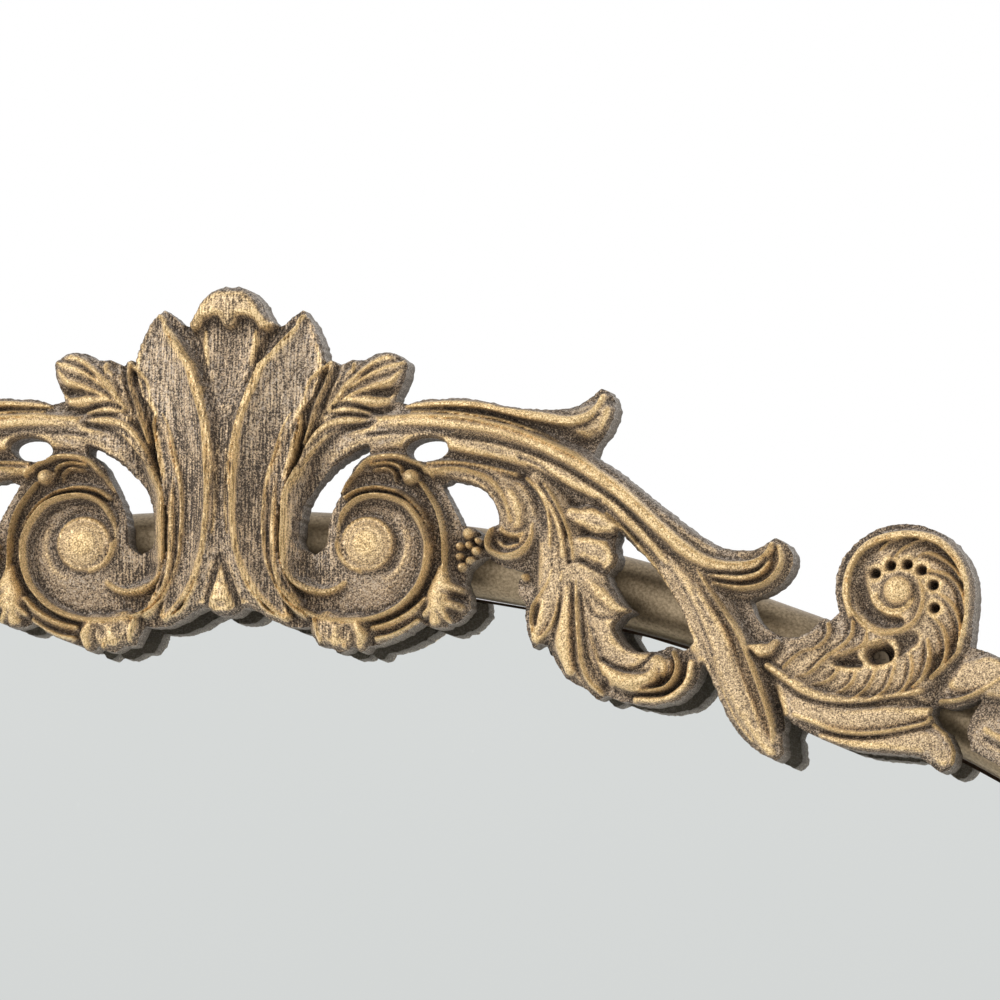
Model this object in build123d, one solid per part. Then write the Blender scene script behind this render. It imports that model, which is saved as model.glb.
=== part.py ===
"""Cheval floor mirror: an arched tube frame with a cast crest, tilting between two posts.

Millimetres, +Z up, the glass faces -Y, the floor is z = 0 and x = 0 is the plane of symmetry.
"""
import os
from math import asin, cos, pi, radians, sin, sqrt

from build123d import *

# ---- framed mirror ----
TUBE_R = 6.35                 # frame tube, 12.7 mm outside
TUBE_WALL = 1.2
FRAME_HALF = 305.0            # half of the frame's outer width
ARCH_R = FRAME_HALF - TUBE_R  # centreline radius of the arch and half width of the sides
FRAME_BOTTOM = 130.0          # underside of the bottom tube
FRAME_TOP = 1630.0            # top of the arch tube
APEX_Z = FRAME_TOP - TUBE_R
ARCH_Z = APEX_Z - ARCH_R      # centre of the arch
SILL_Z = FRAME_BOTTOM + TUBE_R

# ---- glass and backing, front to back along y ----
GLASS_FRONT = -1.15
GLASS_T = 4.0
PAD_T = 0.5
BOARD_T = 5.0
GLASS_BACK = GLASS_FRONT + GLASS_T
BOARD_FRONT = GLASS_BACK + PAD_T
BOARD_BACK = BOARD_FRONT + BOARD_T
GLASS_INSET = TUBE_R + 0.5    # from the tube's centreline to the glass edge
BOARD_INSET = 6.15            # from the tube's centreline to the board edge
PAD_R = 15.0

# ---- retaining clips ----
CLIP_T = 1.5
CLIP_WIDTH = 16.0
CLIP_SEAT = 0.4               # depth of the groove that sits on the tube
CLIP_REACH = 22.0
CLIP_SCREW_AT = 15.0          # from the tube's centreline to the screw
CLIP_SCREW_R = 1.5
CLIP_HOLE_R = 1.7
CLIP_HEAD_R = 3.25
CLIP_HEAD_T = 2.0
CLIP_SCREW_DEPTH = 3.75       # thread length in the board
ARCH_CLIP_DEG = (-62.0, -22.0, 22.0, 62.0)
SIDE_CLIP_Z = (330.0, 720.0, 1130.0)
SILL_CLIP_X = (-150.0, 150.0)

# ---- crest ----
CREST_BACK = -TUBE_R          # the casting bears on the front of the tube
PLATE_T = 7.0
FRONT_SCREW_U = 119.5
FRONT_SCREW_V = -21.5
FRONT_SCREW_R = 1.1
FRONT_HEAD_R = 1.7
RECESS_FLOOR = 2.2            # casting left under the recess
REAR_SCREW_U = 7.0
REAR_SCREW_R = 2.0
REAR_HOLE_R = 2.1
REAR_HEAD_R = 3.6
REAR_HEAD_T = 2.4
REAR_SCREW_DEPTH = 5.2        # thread length in the casting

# ---- pivots ----
PIVOT_Z = 897.0
BOSS_R = 8.0
BOSS_END = 318.0
STUD_R = 4.0
RUN_CLEAR = 0.05              # radial running clearance round the stud
BODY_GAP = 0.3                # between parts that move against each other
SADDLE_R = 9.0
KNOB_R = 17.5
KNOB_LENGTH = 22.0
KNOB_FLUTES = 10

# ---- stand ----
POST_X = 332.0
POST_R = 11.0
POST_WALL = 1.5
POST_FOOT = 85.0
POST_TOP = 980.0
HUB_BASE = 50.0
HUB_TOP = 128.0
HUB_R = 21.0
RAIL_Z = 72.0                 # height of the stretcher and of the leg sockets
RAIL_R = 9.5
RAIL_WALL = 1.5
RAIL_PLUG = 24.0
RAIL_BOLT_R = 4.0
LEG_R = 8.0
LEG_SOCKET = 10.0             # distance of the socket floor from the post's axis
TOE_Y = 214.0
TOE_R = 13.0
TOE_FLAT = 9.0                # height of the flat under the toe
GLIDE_R = 10.0
GLIDE_STEM_R = 2.5


def cylinder_x(radius, x0, x1, y=0.0, z=0.0):
    """A cylinder along X from x0 to x1."""
    middle = Location((0.5 * (x0 + x1), y, z))
    return middle * Rotation(0, 90, 0) * Cylinder(radius, abs(x1 - x0))


def cylinder_y(radius, y0, y1, x=0.0, z=0.0):
    """A cylinder along Y from y0 to y1."""
    middle = Location((x, 0.5 * (y0 + y1), z))
    return middle * Rotation(90, 0, 0) * Cylinder(radius, abs(y1 - y0))


def cylinder_z(radius, z0, z1, x=0.0, y=0.0):
    """A cylinder along Z from z0 to z1."""
    return Location((x, y, 0.5 * (z0 + z1))) * Cylinder(radius, abs(z1 - z0))


def mirrored(shape):
    """The same shape on the other side of x = 0."""
    return shape.mirror(Plane.YZ)


def group(solids):
    """Separate solids kept together as one node."""
    parts = []
    for item in solids:
        parts.extend(item.solids())
    return Compound(children=parts)


# ---------------------------------------------------------------- frame

def arch_solid(radius):
    """Half ring of round section over the glass."""
    section = Plane.XY * Location((ARCH_R, 0, 0)) * Circle(radius)
    ring = revolve(section, Axis.Y, 180)
    if ring.bounding_box().max.Z < radius + 1:
        ring = ring.mirror(Plane.XY)
    return Location((0, 0, ARCH_Z)) * ring


def crest_screw_points():
    """Places of the front screws in the frame's x and z."""
    return [(side * FRONT_SCREW_U, APEX_Z + FRONT_SCREW_V) for side in (-1, 1)]


def rear_screw_points():
    """Places of the rear screws, on the arch's centreline."""
    drop = ARCH_R - sqrt(ARCH_R ** 2 - REAR_SCREW_U ** 2)
    return [(side * REAR_SCREW_U, APEX_Z - drop) for side in (-1, 1)]


def frame_arch():
    tube = arch_solid(TUBE_R) - arch_solid(TUBE_R - TUBE_WALL)
    for x, z in crest_screw_points():
        tube -= cylinder_y(FRONT_SCREW_R, -TUBE_R - 1, 0, x, z)
    for x, z in rear_screw_points():
        tube -= cylinder_y(REAR_HOLE_R, -TUBE_R - 1, TUBE_R + 1, x, z)
    return tube


def mitre_plane(side):
    """The 45 degree joint at a lower corner."""
    return Plane(origin=(side * ARCH_R, 0, SILL_Z), z_dir=(side, 0, 1))


def frame_side(side):
    low = SILL_Z - 2 * TUBE_R
    x = side * ARCH_R
    tube = cylinder_z(TUBE_R, low, ARCH_Z, x) - cylinder_z(TUBE_R - TUBE_WALL, low, ARCH_Z, x)
    return split(tube, bisect_by=mitre_plane(side), keep=Keep.TOP)


def frame_bottom():
    reach = ARCH_R + 2 * TUBE_R
    tube = cylinder_x(TUBE_R, -reach, reach, 0, SILL_Z)
    tube -= cylinder_x(TUBE_R - TUBE_WALL, -reach, reach, 0, SILL_Z)
    for side in (-1, 1):
        tube = split(tube, bisect_by=mitre_plane(side), keep=Keep.BOTTOM)
    return tube


# ---------------------------------------------------------------- glass and backing

def arched_sheet(inset, front, back):
    """A flat sheet with a half-round top, set in from the tube's centreline."""
    half = ARCH_R - inset
    base = SILL_Z + inset
    outline = [
        Line((-half, ARCH_Z), (-half, base)),
        Line((-half, base), (half, base)),
        Line((half, base), (half, ARCH_Z)),
        ThreePointArc((half, ARCH_Z), (0, ARCH_Z + half), (-half, ARCH_Z)),
    ]
    plane = Plane(origin=(0, front, 0), x_dir=(1, 0, 0), z_dir=(0, -1, 0))
    sheet = extrude(make_face(Curve() + outline), amount=-(back - front))
    return plane.location * sheet


def clip_places():
    """Frame of each clip: x out from the glass, y along the tube, z towards the back."""
    places = []
    for angle in ARCH_CLIP_DEG:
        out = (sin(radians(angle)), 0, cos(radians(angle)))
        centre = (ARCH_R * out[0], 0, ARCH_Z + ARCH_R * out[2])
        places.append(Plane(origin=centre, x_dir=out, z_dir=(0, 1, 0)))
    for side in (-1, 1):
        for z in SIDE_CLIP_Z:
            places.append(Plane(origin=(side * ARCH_R, 0, z), x_dir=(side, 0, 0), z_dir=(0, 1, 0)))
    for x in SILL_CLIP_X:
        places.append(Plane(origin=(x, 0, SILL_Z), x_dir=(0, 0, -1), z_dir=(0, 1, 0)))
    return places


def backing_board():
    board = arched_sheet(BOARD_INSET, BOARD_FRONT, BOARD_BACK)
    for place in clip_places():
        hole = cylinder_z(CLIP_SCREW_R, BOARD_BACK - CLIP_SCREW_DEPTH, BOARD_BACK + 1, -CLIP_SCREW_AT)
        board -= place.location * hole
    return board


def mastic_pads():
    pads = []
    for z in range(250, 1451, 240):
        for x in (-190, 0, 190):
            pads.append(cylinder_y(PAD_R, GLASS_BACK, BOARD_FRONT, x, z))
    return group(pads)


def clip_blank():
    """Z-shaped strip: foot over the tube, step, and tongue over the board."""
    seat = TUBE_R - CLIP_SEAT
    tongue = BOARD_BACK
    profile = Polyline(
        (5.0, seat),
        (-2.0, seat),
        (-5.2, tongue),
        (-CLIP_REACH, tongue),
        (-CLIP_REACH, tongue + CLIP_T),
        (-5.9, tongue + CLIP_T),
        (-2.7, seat + CLIP_T),
        (5.0, seat + CLIP_T),
        close=True,
    )
    side_on = Plane(origin=(0, 0.5 * CLIP_WIDTH, 0), x_dir=(1, 0, 0), z_dir=(0, -1, 0))
    strip = side_on.location * extrude(make_face(profile), amount=CLIP_WIDTH)
    return strip - cylinder_z(CLIP_HOLE_R, tongue - 1, tongue + 3, -CLIP_SCREW_AT)


def retaining_clips():
    tube = arch_solid(TUBE_R)
    for side in (-1, 1):
        tube += cylinder_z(TUBE_R, SILL_Z, ARCH_Z, side * ARCH_R)
    tube += cylinder_x(TUBE_R, -ARCH_R, ARCH_R, 0, SILL_Z)
    return group([place.location * clip_blank() - tube for place in clip_places()])


def clip_screws():
    head_z = BOARD_BACK + CLIP_T
    screws = []
    for place in clip_places():
        shank = cylinder_z(CLIP_SCREW_R, BOARD_BACK - CLIP_SCREW_DEPTH, head_z + 0.5, -CLIP_SCREW_AT)
        head = cylinder_z(CLIP_HEAD_R, head_z, head_z + CLIP_HEAD_T, -CLIP_SCREW_AT)
        head = chamfer(head.edges().group_by(Axis.Z)[-1], 0.8)
        slot = Location((-CLIP_SCREW_AT, 0, head_z + CLIP_HEAD_T)) * Box(8, 0.9, 1.6)
        screws.append(place.location * (shank + head - slot))
    return group(screws)


# ---------------------------------------------------------------- crest

# Right half of the outline, from the top of the shell clockwise to the pendant at the bottom.
# u is to the right of the axis and v is up from the arch's centreline at its apex.
# Every run is one smooth edge, and the runs meet at corners.
OUTLINE = [
    [(0, 45.5), (3.5, 44.8), (6, 43), (7.2, 41), (8.5, 38.8)],
    [(8.5, 38.8), (11, 39.8), (13.5, 41.2)],
    [(13.5, 41.2), (16, 38.5), (17.4, 35), (18, 32)],
    [(18, 32), (19.8, 31.2), (22, 31.6), (24, 32), (26.5, 33.2), (29.5, 33.6), (33, 32)],
    [(33, 32), (32.6, 29.5), (30.8, 26.8), (31, 24.6)],
    [(31, 24.6), (39, 25.3), (50, 24.3), (60, 23.4), (65.5, 25), (68.6, 27.2)],
    [(68.6, 27.2), (71, 25), (71, 21.5), (68.8, 17.7), (67.5, 14.8)],
    [(67.5, 14.8), (76, 9), (85, 2), (92.5, -1.8), (97.5, -1.9), (101, 0.2)],
    [(101, 0.2), (104, -2.5), (104, -5.8), (101, -9), (96.5, -10.8)],
    [(96.5, -10.8), (98, -14), (101, -17), (104.5, -18), (107.5, -16.5), (110, -14.6)],
    [(110, -14.6), (113, -13.2)],
    [(113, -13.2), (112, -8), (115, -1), (123.5, 2.8), (132, 0.5), (136.8, -6), (137.4, -13), (136.7, -19.5)],
    [(136.7, -19.5), (142, -21), (148, -24.2), (153, -29.5)],
    [(153, -29.5), (149.5, -30.8)],
    [(149.5, -30.8), (157, -34.5), (166, -41), (173, -49.5), (178, -60)],
    [(178, -60), (170, -58.6), (160, -53), (150, -45.8), (142.5, -40.8), (137.5, -38)],
    [(137.5, -38), (136.6, -34), (138.5, -29.3)],
    [(138.5, -29.3), (134.5, -30.2), (130.8, -29.6)],
    [(130.8, -29.6), (130.2, -31.6), (131, -33.4)],
    [(131, -33.4), (134, -36.2), (134.7, -39.8), (132, -42.3)],
    [(132, -42.3), (129, -39.6), (123, -38.6), (113, -37.4), (106, -35), (102.3, -31.6)],
    [(102.3, -31.6), (103.3, -36.8), (101.5, -40.2)],
    [(101.5, -40.2), (96, -36.6), (91.2, -28.5), (87.8, -22.7)],
    [(87.8, -22.7), (86.8, -26), (83.4, -29), (78.5, -30.1), (73.5, -29.3), (70.5, -28.2)],
    [(70.5, -28.2), (68.8, -28.9), (66.2, -27), (62.8, -25), (60.4, -21.5), (59.2, -19.2)],
    [(59.2, -19.2), (56.8, -19.7)],
    [(56.8, -19.7), (55.6, -16.5), (55.2, -13), (53.9, -10.2)],
    [(53.9, -10.2), (54.2, -8), (55, -5.8)],
    [(55, -5.8), (51, -4.9), (47.6, -3)],
    [(47.6, -3), (46, -4.3), (44.8, -5.4)],
    [(44.8, -5.4), (44.4, -9), (44.8, -13), (42.5, -15.2), (39.2, -16.3), (36.2, -15.4)],
    [(36.2, -15.4), (32, -17.6), (28, -19)],
    [(28, -19), (25.4, -20.5), (21, -20.1), (17.3, -18.6), (15.8, -15.8)],
    [(15.8, -15.8), (12.3, -15.7), (8, -14), (4.7, -12.6)],
    [(4.7, -12.6), (2.6, -13.9), (0, -14.5)],
]

# Openings of the right half, each one a list of runs that closes on itself.
OPENINGS = [
    [
        [(26, 16.4), (18.5, 12), (14.3, 5.5), (13.9, -0.5), (16.6, -3.2)],
        [(16.6, -3.2), (18.8, -1), (19.2, 3.5), (21.8, 8.5), (24, 13), (26.3, 15), (26, 16.4)],
    ],
    [
        [(39.5, 9.6), (41.6, 10.8), (45.5, 10), (49.4, 6.4), (50.4, 2.8)],
        [(50.4, 2.8), (48.6, 1.4), (47.6, -0.8)],
        [(47.6, -0.8), (46.4, 1.4), (43.2, 2.6)],
        [(43.2, 2.6), (42, 6), (39.5, 9.6)],
    ],
    [
        [(72.4, 1.5), (78, -4), (83, -11), (86.8, -18.8)],
        [(86.8, -18.8), (85, -20.1), (82.5, -19.1), (79.5, -19.4), (77.5, -20.6), (74.5, -19.4), (72, -16.4)],
        [(72, -16.4), (72.8, -14.6), (75.1, -13)],
        [(75.1, -13), (73.5, -10.6), (70.4, -6.6)],
        [(70.4, -6.6), (72.6, -3.6), (71.5, -1), (72.4, 1.5)],
    ],
]
OVAL_OPENING = (37.2, 15.8, 4.0, 2.0)  # u, v and the two half widths

# Raised ribs: path, radius of the rib, and height of the rib's axis over the plate.
RIBS = [
    ([(12, 38.5), (6.5, 32), (4, 26), (2, 19), (1.5, 10), (2.4, -2.5), (5.2, -10), (9, -13)], 1.8, 1.0),
    ([(17, 20), (13.2, 15), (10.8, 9), (10.3, 0), (11.6, -5.5), (15, -9.3), (20.5, -9.8)], 1.5, 0.6),
    ([(22.8, -4), (20.2, 1), (22.5, 7), (27.5, 8.6), (33, 5.2), (36.4, -1), (35, -8), (29.5, -12.8),
      (22.5, -14), (15.5, -12.4), (9.5, -7.5), (6.8, -1)], 1.1, 0.5),
    ([(20, 29), (24, 29.4), (30.5, 31)], 1.0, 0.6),
    ([(27, 19.5), (33, 22), (43, 21.8), (54, 18.4), (66, 12.7), (78, 4.2), (87, -2.8), (93, -4.6),
      (98.6, -3)], 2.2, 0.4),
    ([(35, 23.8), (44, 24), (54, 22.3), (62, 21.4), (67, 23), (68.6, 25)], 1.2, 0.6),
    ([(36.5, 12.8), (42, 12.9), (48, 10.8), (51.6, 6.5), (52.4, 2.5)], 1.4, 0.6),
    ([(48.6, -0.6), (50.8, -3), (54, -2.8), (56.4, 0), (56.4, 3.5)], 1.1, 0.6),
    ([(58.5, 11), (61.8, 3.6), (63, -6), (63.6, -15), (65.2, -22.5), (68.2, -26.8)], 1.3, 0.6),
    ([(68.6, -22.4), (73.5, -25.2), (78.8, -24.6), (81.6, -21.6)], 1.4, 0.6),
    ([(88, -6.2), (92.4, -14.2), (96.2, -22.4), (99, -29.6), (101, -37)], 1.3, 0.6),
    ([(99, -21.5), (105, -26), (113, -29), (122, -28.9), (129.5, -26.4), (134.2, -20), (135.2, -10.5),
      (131.5, -2), (123.5, 0.8), (116.5, -2.6), (114.2, -9), (118, -16)], 1.2, 0.5),
    ([(105.4, -32), (116, -35), (125, -34.8), (130.4, -33.4)], 1.1, 0.6),
    ([(132.5, -27.6), (141, -24.6), (150, -28.6)], 1.2, 0.6),
    ([(142, -33.6), (152, -40.6), (163, -48.6), (174, -57)], 1.3, 0.6),
]
RIM_RING = (123.3, -9.4, 7.6, 1.0)     # u, v, ring radius and wire radius of the outer scroll's eye
# Rounded bosses: u, v, radius and height over the plate.
BOSSES = [
    (26.2, -0.8, 4.0, 4.6),
    (123.3, -9.4, 3.6, 5.2),
    (33.3, 11.2, 1.8, 2.4),
]
PENDANT = (0, -10.6, 2.6, 2.4)
SHELL_LIP = [(-6.4, 41), (-3.6, 38.2), (0, 37), (3.6, 38.2), (6.4, 41)]


def run_edges(runs, side=1):
    """Edges through runs of points: a line for two points, a smooth curve for more."""
    edges = []
    for run in runs:
        points = [(side * u, v) for u, v in run]
        edges.append(Line(*points) if len(points) == 2 else Spline(*points))
    return edges


def crest_plate():
    """Flat casting with its through openings, in u, v and height."""
    outline = run_edges(OUTLINE) + run_edges(OUTLINE, -1)
    plate = extrude(make_face(Curve() + outline), amount=PLATE_T)
    for side in (-1, 1):
        for runs in OPENINGS:
            cut = extrude(make_face(Curve() + run_edges(runs, side)), amount=PLATE_T + 2)
            plate -= Location((0, 0, -1)) * cut
        u, v, half_u, half_v = OVAL_OPENING
        oval = extrude(Ellipse(half_u, half_v), amount=PLATE_T + 2)
        plate -= Location((side * u, v, -1)) * oval
    return plate


def rib(path_points, radius, rise, side=1):
    """Round bar half sunk in the plate, with ball ends."""
    points = [(side * u, v, PLATE_T + rise) for u, v in path_points]
    path = Spline(*points)
    start = Plane(origin=path @ 0, z_dir=path % 0)
    bar = sweep(start * Circle(radius), path=path)
    for end in (points[0], points[-1]):
        bar += Location(end) * Sphere(radius)
    return bar


def dome(u, v, radius, height):
    """Round boss with a flattened ball top, rooted in the plate."""
    ball_r = (radius ** 2 + height ** 2) / (2 * height)
    stem = Location((u, v, 0.5 * PLATE_T)) * Cylinder(radius, PLATE_T)
    if height <= radius:
        cap = Location((u, v, PLATE_T + height - ball_r)) * Sphere(ball_r)
        cap &= Location((u, v, PLATE_T + height)) * Cylinder(radius, 2 * height)
        return stem + cap
    neck = Location((u, v, PLATE_T + 0.5 * (height - radius))) * Cylinder(radius, height - radius)
    return stem + neck + Location((u, v, PLATE_T + height - radius)) * Sphere(radius)


def crest():
    body = crest_plate()
    for side in (-1, 1):
        for points, radius, rise in RIBS:
            body += rib(points, radius, rise, side)
        for u, v, radius, height in BOSSES:
            body += dome(side * u, v, radius, height)
        u, v, ring_r, wire_r = RIM_RING
        body += Location((side * u, v, PLATE_T)) * Torus(ring_r, wire_r)
    body += dome(*PENDANT)
    body += rib(SHELL_LIP, 1.6, 0.8)
    for side in (-1, 1):
        where = (side * FRONT_SCREW_U, FRONT_SCREW_V)
        recess = extrude(SlotOverall(5.6, 4.0), amount=2 * PLATE_T)
        body -= Location((*where, RECESS_FLOOR)) * recess
        body -= Location((*where, 0)) * Cylinder(FRONT_SCREW_R + 0.1, 2 * PLATE_T)
        drop = ARCH_R - sqrt(ARCH_R ** 2 - REAR_SCREW_U ** 2)
        pilot = Location((side * REAR_SCREW_U, -drop, 0)) * Cylinder(REAR_SCREW_R, 2 * REAR_SCREW_DEPTH)
        body -= pilot
    plane = Plane(origin=(0, CREST_BACK, APEX_Z), x_dir=(1, 0, 0), z_dir=(0, -1, 0))
    return plane.location * body


def crest_front_screws():
    """Small pan-head screws in the recesses, driven into the arch tube."""
    screws = []
    seat = CREST_BACK - RECESS_FLOOR
    for x, z in crest_screw_points():
        shank = cylinder_y(FRONT_SCREW_R, seat - 0.3, -2.6, x, z)
        head = cylinder_y(FRONT_HEAD_R, seat - 1.3, seat, x, z)
        cross = Location((x, seat - 1.3, z)) * (Box(2.2, 1.0, 0.5) + Box(0.5, 1.0, 2.2))
        screws.append(shank + head - cross)
    return group(screws)


def crest_rear_screws():
    """Screws from the back, through both walls of the tube and into the casting."""
    screws = []
    for x, z in rear_screw_points():
        shank = cylinder_y(REAR_SCREW_R, CREST_BACK - REAR_SCREW_DEPTH, TUBE_R + 0.5, x, z)
        head = cylinder_y(REAR_HEAD_R, TUBE_R, TUBE_R + REAR_HEAD_T, x, z)
        slot = Location((x, TUBE_R + REAR_HEAD_T, z)) * Box(9, 1.6, 1.0)
        screws.append(shank + head - slot)
    return group(screws)


# ---------------------------------------------------------------- pivots

def pivot_boss():
    """Threaded boss welded to the right side tube."""
    boss = cylinder_x(BOSS_R, ARCH_R + 1, BOSS_END, 0, PIVOT_Z)
    boss -= cylinder_z(TUBE_R, PIVOT_Z - 20, PIVOT_Z + 20, ARCH_R)
    return boss - cylinder_x(STUD_R + RUN_CLEAR, FRAME_HALF + 1, BOSS_END + 1, 0, PIVOT_Z)


def saddle(x0, x1):
    """Washer with one face cut to the post's round."""
    ring = cylinder_x(SADDLE_R, x0, x1, 0, PIVOT_Z)
    ring -= cylinder_z(POST_R, PIVOT_Z - 20, PIVOT_Z + 20, POST_X)
    return ring - cylinder_x(STUD_R + BODY_GAP, x0 - 1, x1 + 1, 0, PIVOT_Z)


def knob_face_x():
    """Where the knob begins, just outside the outer saddle washer."""
    return POST_X + POST_R + 3.0


def saddle_washers():
    inner = saddle(BOSS_END + BODY_GAP, POST_X)
    outer = saddle(POST_X, knob_face_x() - BODY_GAP)
    return group([inner, outer, mirrored(inner), mirrored(outer)])


def cap_arc(radius, z_edge, z_top):
    """Arc of a ball cap in a turning profile, from its edge to the axis."""
    rise = z_top - z_edge
    ball_r = (radius ** 2 + rise ** 2) / (2 * rise)
    centre = z_top - ball_r
    half_angle = 0.5 * asin(radius / ball_r) if centre < z_edge else 0.5 * (pi - asin(radius / ball_r))
    middle = (ball_r * sin(half_angle), centre + ball_r * cos(half_angle))
    return ThreePointArc((radius, z_edge), middle, (0, z_top))


def knob():
    """Fluted clamp knob with a domed cap, right side."""
    x0 = knob_face_x()
    profile = [
        Line((0, 0), (9, 0)),
        Line((9, 0), (9, 3)),
        Line((9, 3), (KNOB_R - 1.5, 5)),
        ThreePointArc((KNOB_R - 1.5, 5), (KNOB_R, 6.6), (KNOB_R, 8)),
        Line((KNOB_R, 8), (KNOB_R, 14)),
        cap_arc(KNOB_R, 14, KNOB_LENGTH),
        Line((0, KNOB_LENGTH), (0, 0)),
    ]
    body = revolve(Plane.XZ * make_face(Curve() + profile), Axis.Z, 360)
    for index in range(KNOB_FLUTES):
        turn = Rotation(0, 0, index * 360 / KNOB_FLUTES)
        body -= turn * Location((KNOB_R + 1.6, 0, 12)) * Cylinder(3.2, 30)
    body -= Cylinder(STUD_R, 24)
    return Location((x0, 0, PIVOT_Z)) * Rotation(0, 90, 0) * body


def stud():
    """Stud fixed in the knob, running in the post's bore and in the boss."""
    tip = FRAME_HALF + 1 + BODY_GAP
    rod = cylinder_x(STUD_R, tip, knob_face_x() + 12, 0, PIVOT_Z)
    return chamfer(rod.edges().group_by(Axis.X)[0], 0.8)


# ---------------------------------------------------------------- stand

def post():
    tube = cylinder_z(POST_R, POST_FOOT, POST_TOP, POST_X)
    tube -= cylinder_z(POST_R - POST_WALL, POST_FOOT - 1, POST_TOP + 1, POST_X)
    return tube - cylinder_x(STUD_R + RUN_CLEAR, POST_X - 20, POST_X + 20, 0, PIVOT_Z)


def finial():
    """Turned urn with a ball top, plugged into the post."""
    spigot_r = POST_R - POST_WALL
    profile = [
        Line((0, -18), (spigot_r, -18)),
        Line((spigot_r, -18), (spigot_r, 0)),
        Line((spigot_r, 0), (13.5, 0)),
        ThreePointArc((13.5, 0), (15, 2), (13.5, 4)),
        Line((13.5, 4), (9, 5)),
        ThreePointArc((9, 5), (7, 8.5), (9, 12)),
        Spline((9, 12), (15.5, 20), (16.5, 29), (11, 38)),
        ThreePointArc((11, 38), (9.2, 40), (11, 42)),
        Line((11, 42), (6, 44)),
        cap_arc(6, 44, 64),
        Line((0, 64), (0, -18)),
    ]
    body = revolve(Plane.XZ * make_face(Curve() + profile), Axis.Z, 360)
    return Location((POST_X, 0, POST_TOP)) * body


def hub_blank():
    """Turned outside of the hub, without its holes."""
    profile = [
        Line((0, HUB_BASE), (17, HUB_BASE)),
        ThreePointArc((17, HUB_BASE), (20, 51.5), (HUB_R, 55)),
        Line((HUB_R, 55), (HUB_R, 89)),
        ThreePointArc((HUB_R, 89), (19.8, 92), (17, 93)),
        ThreePointArc((17, 93), (15.6, 97), (18, 101)),
        ThreePointArc((18, 101), (19.5, 106), (18, 111)),
        Spline((18, 111), (15.6, 116), (15, 122), (15, HUB_TOP)),
        Line((15, HUB_TOP), (0, HUB_TOP)),
        Line((0, HUB_TOP), (0, HUB_BASE)),
    ]
    return revolve(Plane.XZ * make_face(Curve() + profile), Axis.Z, 360)


def hub():
    """Cast hub: post socket on top, leg sockets front and back, bolt hole across."""
    body = hub_blank()
    body -= cylinder_z(POST_R, POST_FOOT, HUB_TOP + 1)
    for side in (-1, 1):
        body -= cylinder_y(LEG_R, side * LEG_SOCKET, side * (HUB_R + 5), 0, RAIL_Z)
    body -= cylinder_x(RAIL_BOLT_R + 0.2, -HUB_R - 5, HUB_R + 5, 0, RAIL_Z)
    body -= cylinder_x(2.5, POST_R - 1, HUB_R + 5, 0, 106)
    return Location((POST_X, 0, 0)) * body


def leg(direction):
    """Curved leg from the hub to a ball toe; direction is -1 at the front and 1 at the back."""
    root = HUB_R + 2
    toe_z = TOE_FLAT + sqrt(TOE_R ** 2 - GLIDE_R ** 2)
    points = [(0, direction * root, RAIL_Z), (0, direction * 64, 78), (0, direction * 132, 58),
              (0, direction * TOE_Y, toe_z)]
    path = Spline(*points, tangents=[(0, direction, 0), (0, direction, -0.42)])
    start = Plane(origin=path @ 0, z_dir=path % 0)
    bar = sweep(start * Circle(LEG_R), path=path)
    bar += cylinder_y(LEG_R, direction * LEG_SOCKET, direction * root, 0, RAIL_Z)
    toe = Location((0, direction * TOE_Y, toe_z)) * Sphere(TOE_R)
    body = bar + toe
    body -= Location((0, direction * TOE_Y, TOE_FLAT - 10)) * Box(60, 60, 20)
    body -= cylinder_z(GLIDE_STEM_R, 0, 20, 0, direction * TOE_Y)
    return Location((POST_X, 0, 0)) * body


def glide(side, direction):
    """Floor glide with a stem that pushes up into the toe."""
    x = side * POST_X
    y = direction * TOE_Y
    disc = cylinder_z(GLIDE_R, 0, TOE_FLAT, x, y)
    disc = chamfer(disc.edges().group_by(Axis.Z)[0], 1.0)
    return disc + cylinder_z(GLIDE_STEM_R, TOE_FLAT, 19, x, y)


def stretcher():
    """Tube between the hubs with threaded plugs in its ends."""
    reach = POST_X - 8
    tube = cylinder_x(RAIL_R, -reach, reach, 0, RAIL_Z)
    hollow = POST_X - HUB_R - RAIL_PLUG
    tube -= cylinder_x(RAIL_R - RAIL_WALL, -hollow, hollow, 0, RAIL_Z)
    for side in (-1, 1):
        tube -= cylinder_z(HUB_R, RAIL_Z - 17, RAIL_Z + 17, side * POST_X)
        tube -= cylinder_x(RAIL_BOLT_R, side * (hollow - 1), side * reach, 0, RAIL_Z)
    return tube


def stretcher_bolt():
    """Hexagon bolt through the right hub into the stretcher."""
    seat = POST_X + HUB_R
    shank = cylinder_x(RAIL_BOLT_R, POST_X - HUB_R - 18, seat + 1, 0, RAIL_Z)
    head = Location((seat + 0.2, 0, RAIL_Z)) * Rotation(0, 90, 0) * extrude(RegularPolygon(7.5, 6), amount=5.3)
    return shank + head


def post_set_screw():
    """Grub screw through the right hub against the post."""
    screw = cylinder_x(2.5, POST_X + POST_R, POST_X + 18.5, 0, 106)
    socket = Location((POST_X + 18.5, 0, 106)) * Rotation(0, 90, 0)
    return screw - socket * extrude(RegularPolygon(1.4, 6), amount=2.5, both=True)


# ---------------------------------------------------------------- export

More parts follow.
